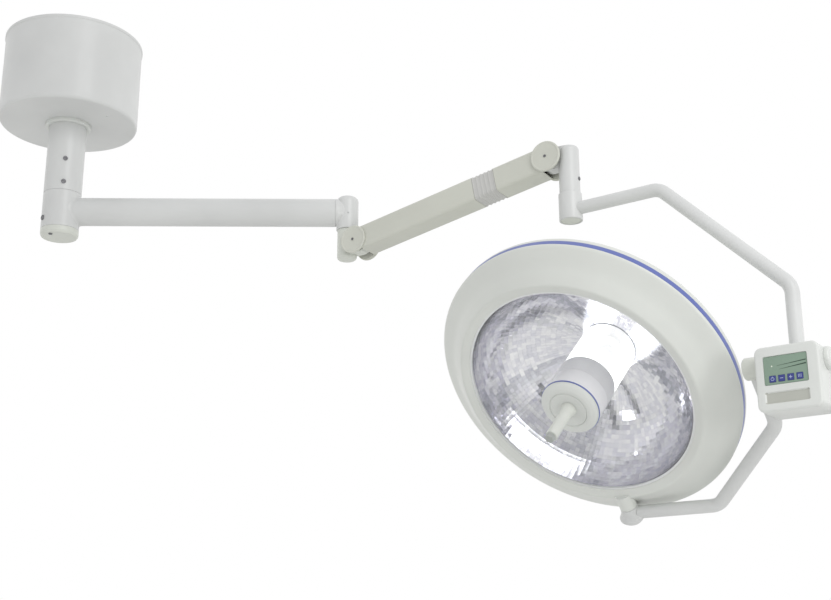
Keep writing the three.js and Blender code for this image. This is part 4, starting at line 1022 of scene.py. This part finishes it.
# ---- head ----
HEAD_STEPS = 192
BOWL_RIM, BOWL_DEPTH, BOWL_START = 261.0, 190.0, 5
BORDER_START = 257.5
TIP_END = -153.5


def build_head():
    bezel = turned([
        (262, -1.2), (262, -3.2, 0.8), (281, -9.2, 5), (312, 19.5, 24), (331, 31, 12), (346.5, 40, 4),
        (350, 43.5, 2), (350, 47, 0.6), (347, 47), (343, 41), (270, -1.2),
    ], HEAD_STEPS)
    pad = turned([(0, 276), (20, 276), (20, 312.4, 1.5), (12, 312.4), (12, 338, 1), (0, 338)], 64, ALONG_Y)
    piece("front_bezel", fused(bezel, pad), HEAD, SHELL, crease=30)
    band = turned([(346, 47.3), (350, 47.3, 0.5), (350, 60, 0.5), (346, 60)], HEAD_STEPS)
    piece("accent_band", band, HEAD, BLUE)
    outer = [(350, 60.3, 0.6), (350, 69, 5), (344, 80, 12), (275, 144, 42), (185, 190, 42), (80, 217, 42),
             (0, 222)]
    inner = [(0, 219.5), (78, 214.5, 42), (183, 187.5, 42), (272.5, 141.5, 42), (341.5, 78, 12), (347.5, 66),
             (347.5, 60.3)]
    piece("back_cover", turned(outer + inner, HEAD_STEPS), HEAD, SHELL, crease=30)
    bowl = FACETS.grow(None, MIRROR, rim_radius=BOWL_RIM, depth=BOWL_DEPTH, rim_height=float(BOWL_START))
    piece("reflector", bowl, HEAD, None, crease=0.05)
    pane = turned([
        (66.7, -0.7, 0.6), (BORDER_START, -0.7), (268, -0.7, 0.6), (268, 3.3, 0.6), (BORDER_START, 3.3),
        (66.7, 3.3, 0.6),
    ], HEAD_STEPS)
    piece("front_glass", pane, HEAD, CLEAR, tint=(GLASS_BORDER, lambda p: p.xy.length > BORDER_START))
    build_hub()


def bowl_height(r):
    """How far behind the glass the mirror's inside is, at this radius."""
    return BOWL_START + BOWL_DEPTH * math.sqrt(max(0, 1 - (r / BOWL_RIM) ** 2))


def build_hub():
    column = turned([
        (63, -44), (66, -44, 0.6), (66, 50, 3), (62.5, 54, 1.5), (46, 54, 0.8), (46, 51), (63, 51),
    ], 128)
    post_circle = 50
    for x, y in ring_spots(post_circle, 3):
        column = fused(column, moved(rod(2.5, 52, bowl_height(post_circle) - 2, 20), x, y))
    piece("hub_column", column, HEAD, HUB_WHITE)
    ring = turned([(58, -44.3), (67.2, -44.3, 0.8), (67.2, -47.3, 0.8), (58, -47.3)], 128)
    piece("hub_ring", ring, HEAD, BLUE)
    piece("hub_cap", turned([
        (6.3, -47.6), (66, -47.6, 0.6), (65.5, -52, 2), (60, -56.8, 3), (52, -60.2, 2.5), (44, -60.6, 1.5),
        (42.6, -57.6, 1), (41.2, -59.6, 0.6), (38.5, -60, 1), (20, -55.8, 5), (6.3, -55.6),
    ], 128), HEAD, HUB_IVORY, crease=28)
    # The last 1.6 mm of the filter cylinder's far end take the dark grey rim: painted shade.
    end = bowl_height(64) - 1
    # The filter cylinder's glass glows: painted light from the bulb.
    piece("filter_cylinder", turned([
        (61, 54.3, 0.8), (64, 54.3, 0.8), (64, end - 6), (64, end, 1), (61, end, 1), (61, end - 6),
    ], 128), HEAD, FILTER_GLASS_PAINTED_GLOW, crease=50, tint=(FILTER_RIM_PAINTED_SHADE, lambda p: p.z > end - 1.6))
    piece("focus_handle", handle_mesh(), HEAD, GRIP_WHITE, crease=28,
          tint=(GRIP_GREY, lambda p: p.z < TIP_END))
    socket = bowl_height(26) - 22
    piece("lamp_carriage", turned([
        (11, 134, 0.6), (16, 134, 0.8), (16, socket, 0.5), (20, socket + 3, 0.8), (20, socket + 8, 0.8),
        (0, socket + 8), (0, 148), (11, 148),
    ], 64), HEAD, PHOSPHATE)
    piece("lamp_bulb", turned([
        (0, 104), (3, 104.6, 1), (7, 109, 3), (9, 116, 4), (9, 136, 2), (6, 140, 2), (6, 147), (0, 147),
    ], 48), HEAD, BULB_GLASS)


def handle_mesh():
    """The grip: soft flats along its length, a collar at the root, a hex tip and a round stem in the hub.

    Each station is a height, a radius and how far the round is drawn out to a hexagon.
    """
    steps, half_side = 96, math.pi / 6
    stations = [
        (-166, 6.5, 0), (-166, 9.0, 1), (-164.6, 10.4, 1), (-154.2, 11.4, 1), (-153.6, 11.0, 1),
        (-153.2, 12.4, 0.15), (-150, 13.0, 0.12), (-75, 13.4, 0.12), (-66, 14.6, 0.05), (-59, 17.2, 0),
        (-56.4, 17.5, 0), (-55.9, 17.0, 0), (-55.9, 6.0, 0), (45, 6.0, 0),
    ]
    loops = []
    for z, r, hexed in stations:
        loop = []
        for k in range(steps):
            a = 2 * math.pi * k / steps
            inside = (a + half_side) % (math.pi / 3) - half_side
            flat = math.cos(half_side) / math.cos(inside)
            reach = r * (1 + hexed * (flat - 1))
            loop.append((reach * math.cos(a), reach * math.sin(a), z))
        loops.append(loop)
    return skinned(loops)


# ---- inner pieces kept as they are, with a better finish ----
def dress_kept_nodes():
    for node, look in (("main_spindle", TURNED_STEEL), ("hub_bearing", BRONZE), ("arm_frame", PHOSPHATE),
                       ("spring_adjuster", BRONZE)):
        mesh = frame["nodes"][node].data
        mesh.materials.clear()
        mesh.materials.append(look)


# ---- studio: pale floor, soft lights, one camera ----
FLOOR_Z, FLOOR_RADIUS = -2.6, 14
FLOOR_FAR, FLOOR_NEAR = (0.36, 0.36, 0.35), (1.0, 1.0, 1.0)
ROOM_LOW, ROOM_HIGH = (0.30, 0.30, 0.29), (0.70, 0.70, 0.71)
CARD_COUNT, CARD_START, CARD_STEP, CARD_RING, CARD_HEIGHT = 5, 188, 23, 1.5, 1.2
CARD_TARGET = (1.25, -0.35, -1.0)
CAMERA_PITCH, CAMERA_YAW, CAMERA_ROLL = math.radians(16.91), math.radians(1.17), math.radians(-0.18)
CAMERA_FROM_ARM = Vector((0.8439, -3.0444, -1.1585))
LENS_MM, SENSOR_MM = 54.74, 36


def build_studio():
    bm = bmesh.new()
    bmesh.ops.create_circle(bm, cap_ends=True, segments=96, radius=FLOOR_RADIUS)
    bm.transform(Matrix.Translation((0.8, 0, FLOOR_Z)))
    floor = linked("studio_floor", plain(bm, "studio_floor"))
    floor.data.materials.append(paint("pale_floor", (0.80, 0.80, 0.79), 0.6, peel=0.0002, peel_scale=60,
                                      mottle=0.012))
    world = bpy.data.worlds.new("studio_air")
    bpy.context.scene.world = world
    world.use_nodes = True
    tree = world.node_tree
    sky = tree.nodes["Background"]
    way = add(tree, "ShaderNodeTexCoord").outputs["Generated"]
    split = add(tree, "ShaderNodeSeparateXYZ", Vector=way)
    share = spread(tree, split.outputs[2], 0, 1, -0.25, 0.03)
    ground = blend_colours(tree, share, FLOOR_FAR, FLOOR_NEAR)
    behind = spread(tree, split.outputs[1], 0, 1, -0.35, 0.45)
    room = blend_colours(tree, share, ROOM_LOW, ROOM_HIGH)
    plug(tree, sky, Color=blend_colours(tree, behind, room, ground), Strength=1.0)
    soft_light("key_soft_box", (2.3, -3.3, 0.8), (0.9, -0.3, -0.8), 1.6, 30)
    soft_light("side_soft_box", (-2.2, -1.6, -1.9), (1.1, -0.4, -1.0), 0.5, 4)
    soft_light("rim_soft_box", (2.9, -2.4, -1.2), (1.25, -0.4, -1.0), 0.6, 9)
    x, y, _ = CARD_TARGET
    for i in range(CARD_COUNT):
        bearing = math.radians(CARD_START + CARD_STEP * i)
        where = (x + CARD_RING * math.cos(bearing), y + CARD_RING * math.sin(bearing), -2.0 + 0.3 * (i % 2))
        dark_card(f"dark_card_{i + 1}", where, 0.10 + 0.05 * (i % 3))


def aimed(where, target):
    return (Vector(target) - Vector(where)).to_track_quat("-Z", "Y").to_matrix().to_4x4()


def soft_light(name, where, target, size, power):
    lamp = bpy.data.lights.new(name, "AREA")
    lamp.shape = "SQUARE"
    lamp.size = size
    lamp.energy = power
    linked(name, lamp).matrix_world = Matrix.Translation(where) @ aimed(where, target)


def dark_card(name, where, width):
    """A black card beside the set, seen only where something shines or is clear."""
    mesh = bpy.data.meshes.new(name)
    w, h = width / 2, CARD_HEIGHT / 2
    mesh.from_pydata([(-w, -h, 0), (w, -h, 0), (w, h, 0), (-w, h, 0)], [], [(0, 1, 2, 3)])
    mesh.transform(Matrix.Translation(where) @ aimed(where, CARD_TARGET))
    o = linked(name, mesh)
    mesh.materials.append(paint(name + "_cloth", (0.03, 0.03, 0.035), 0.9))
    o.visible_camera = False
    o.visible_diffuse = False
    o.visible_shadow = False


def build_camera():
    pitch, yaw, roll = CAMERA_PITCH, CAMERA_YAW, CAMERA_ROLL
    forward = Vector((math.sin(yaw) * math.cos(pitch), math.cos(yaw) * math.cos(pitch), math.sin(pitch)))
    right = Vector((math.cos(yaw), -math.sin(yaw), 0))
    up = right.cross(forward)
    turned_right = right * math.cos(roll) + up * math.sin(roll)
    turned_up = up * math.cos(roll) - right * math.sin(roll)
    m = Matrix((turned_right, turned_up, -forward)).transposed().to_4x4()
    m.translation = ARM.translation + CAMERA_FROM_ARM
    cam = bpy.data.cameras.new("studio_camera")
    cam.lens, cam.sensor_width = LENS_MM, SENSOR_MM
    o = linked("studio_camera", cam)
    o.matrix_world = m
    bpy.context.scene.camera = o
    bpy.context.scene.view_settings.view_transform = "Standard"


build_camera()
build_ceiling()
build_horizontal_arm()
build_knuckle()
build_spring_arm()
build_post()
build_outer_yoke()
build_inner_yoke()
build_head()
dress_kept_nodes()
build_studio()
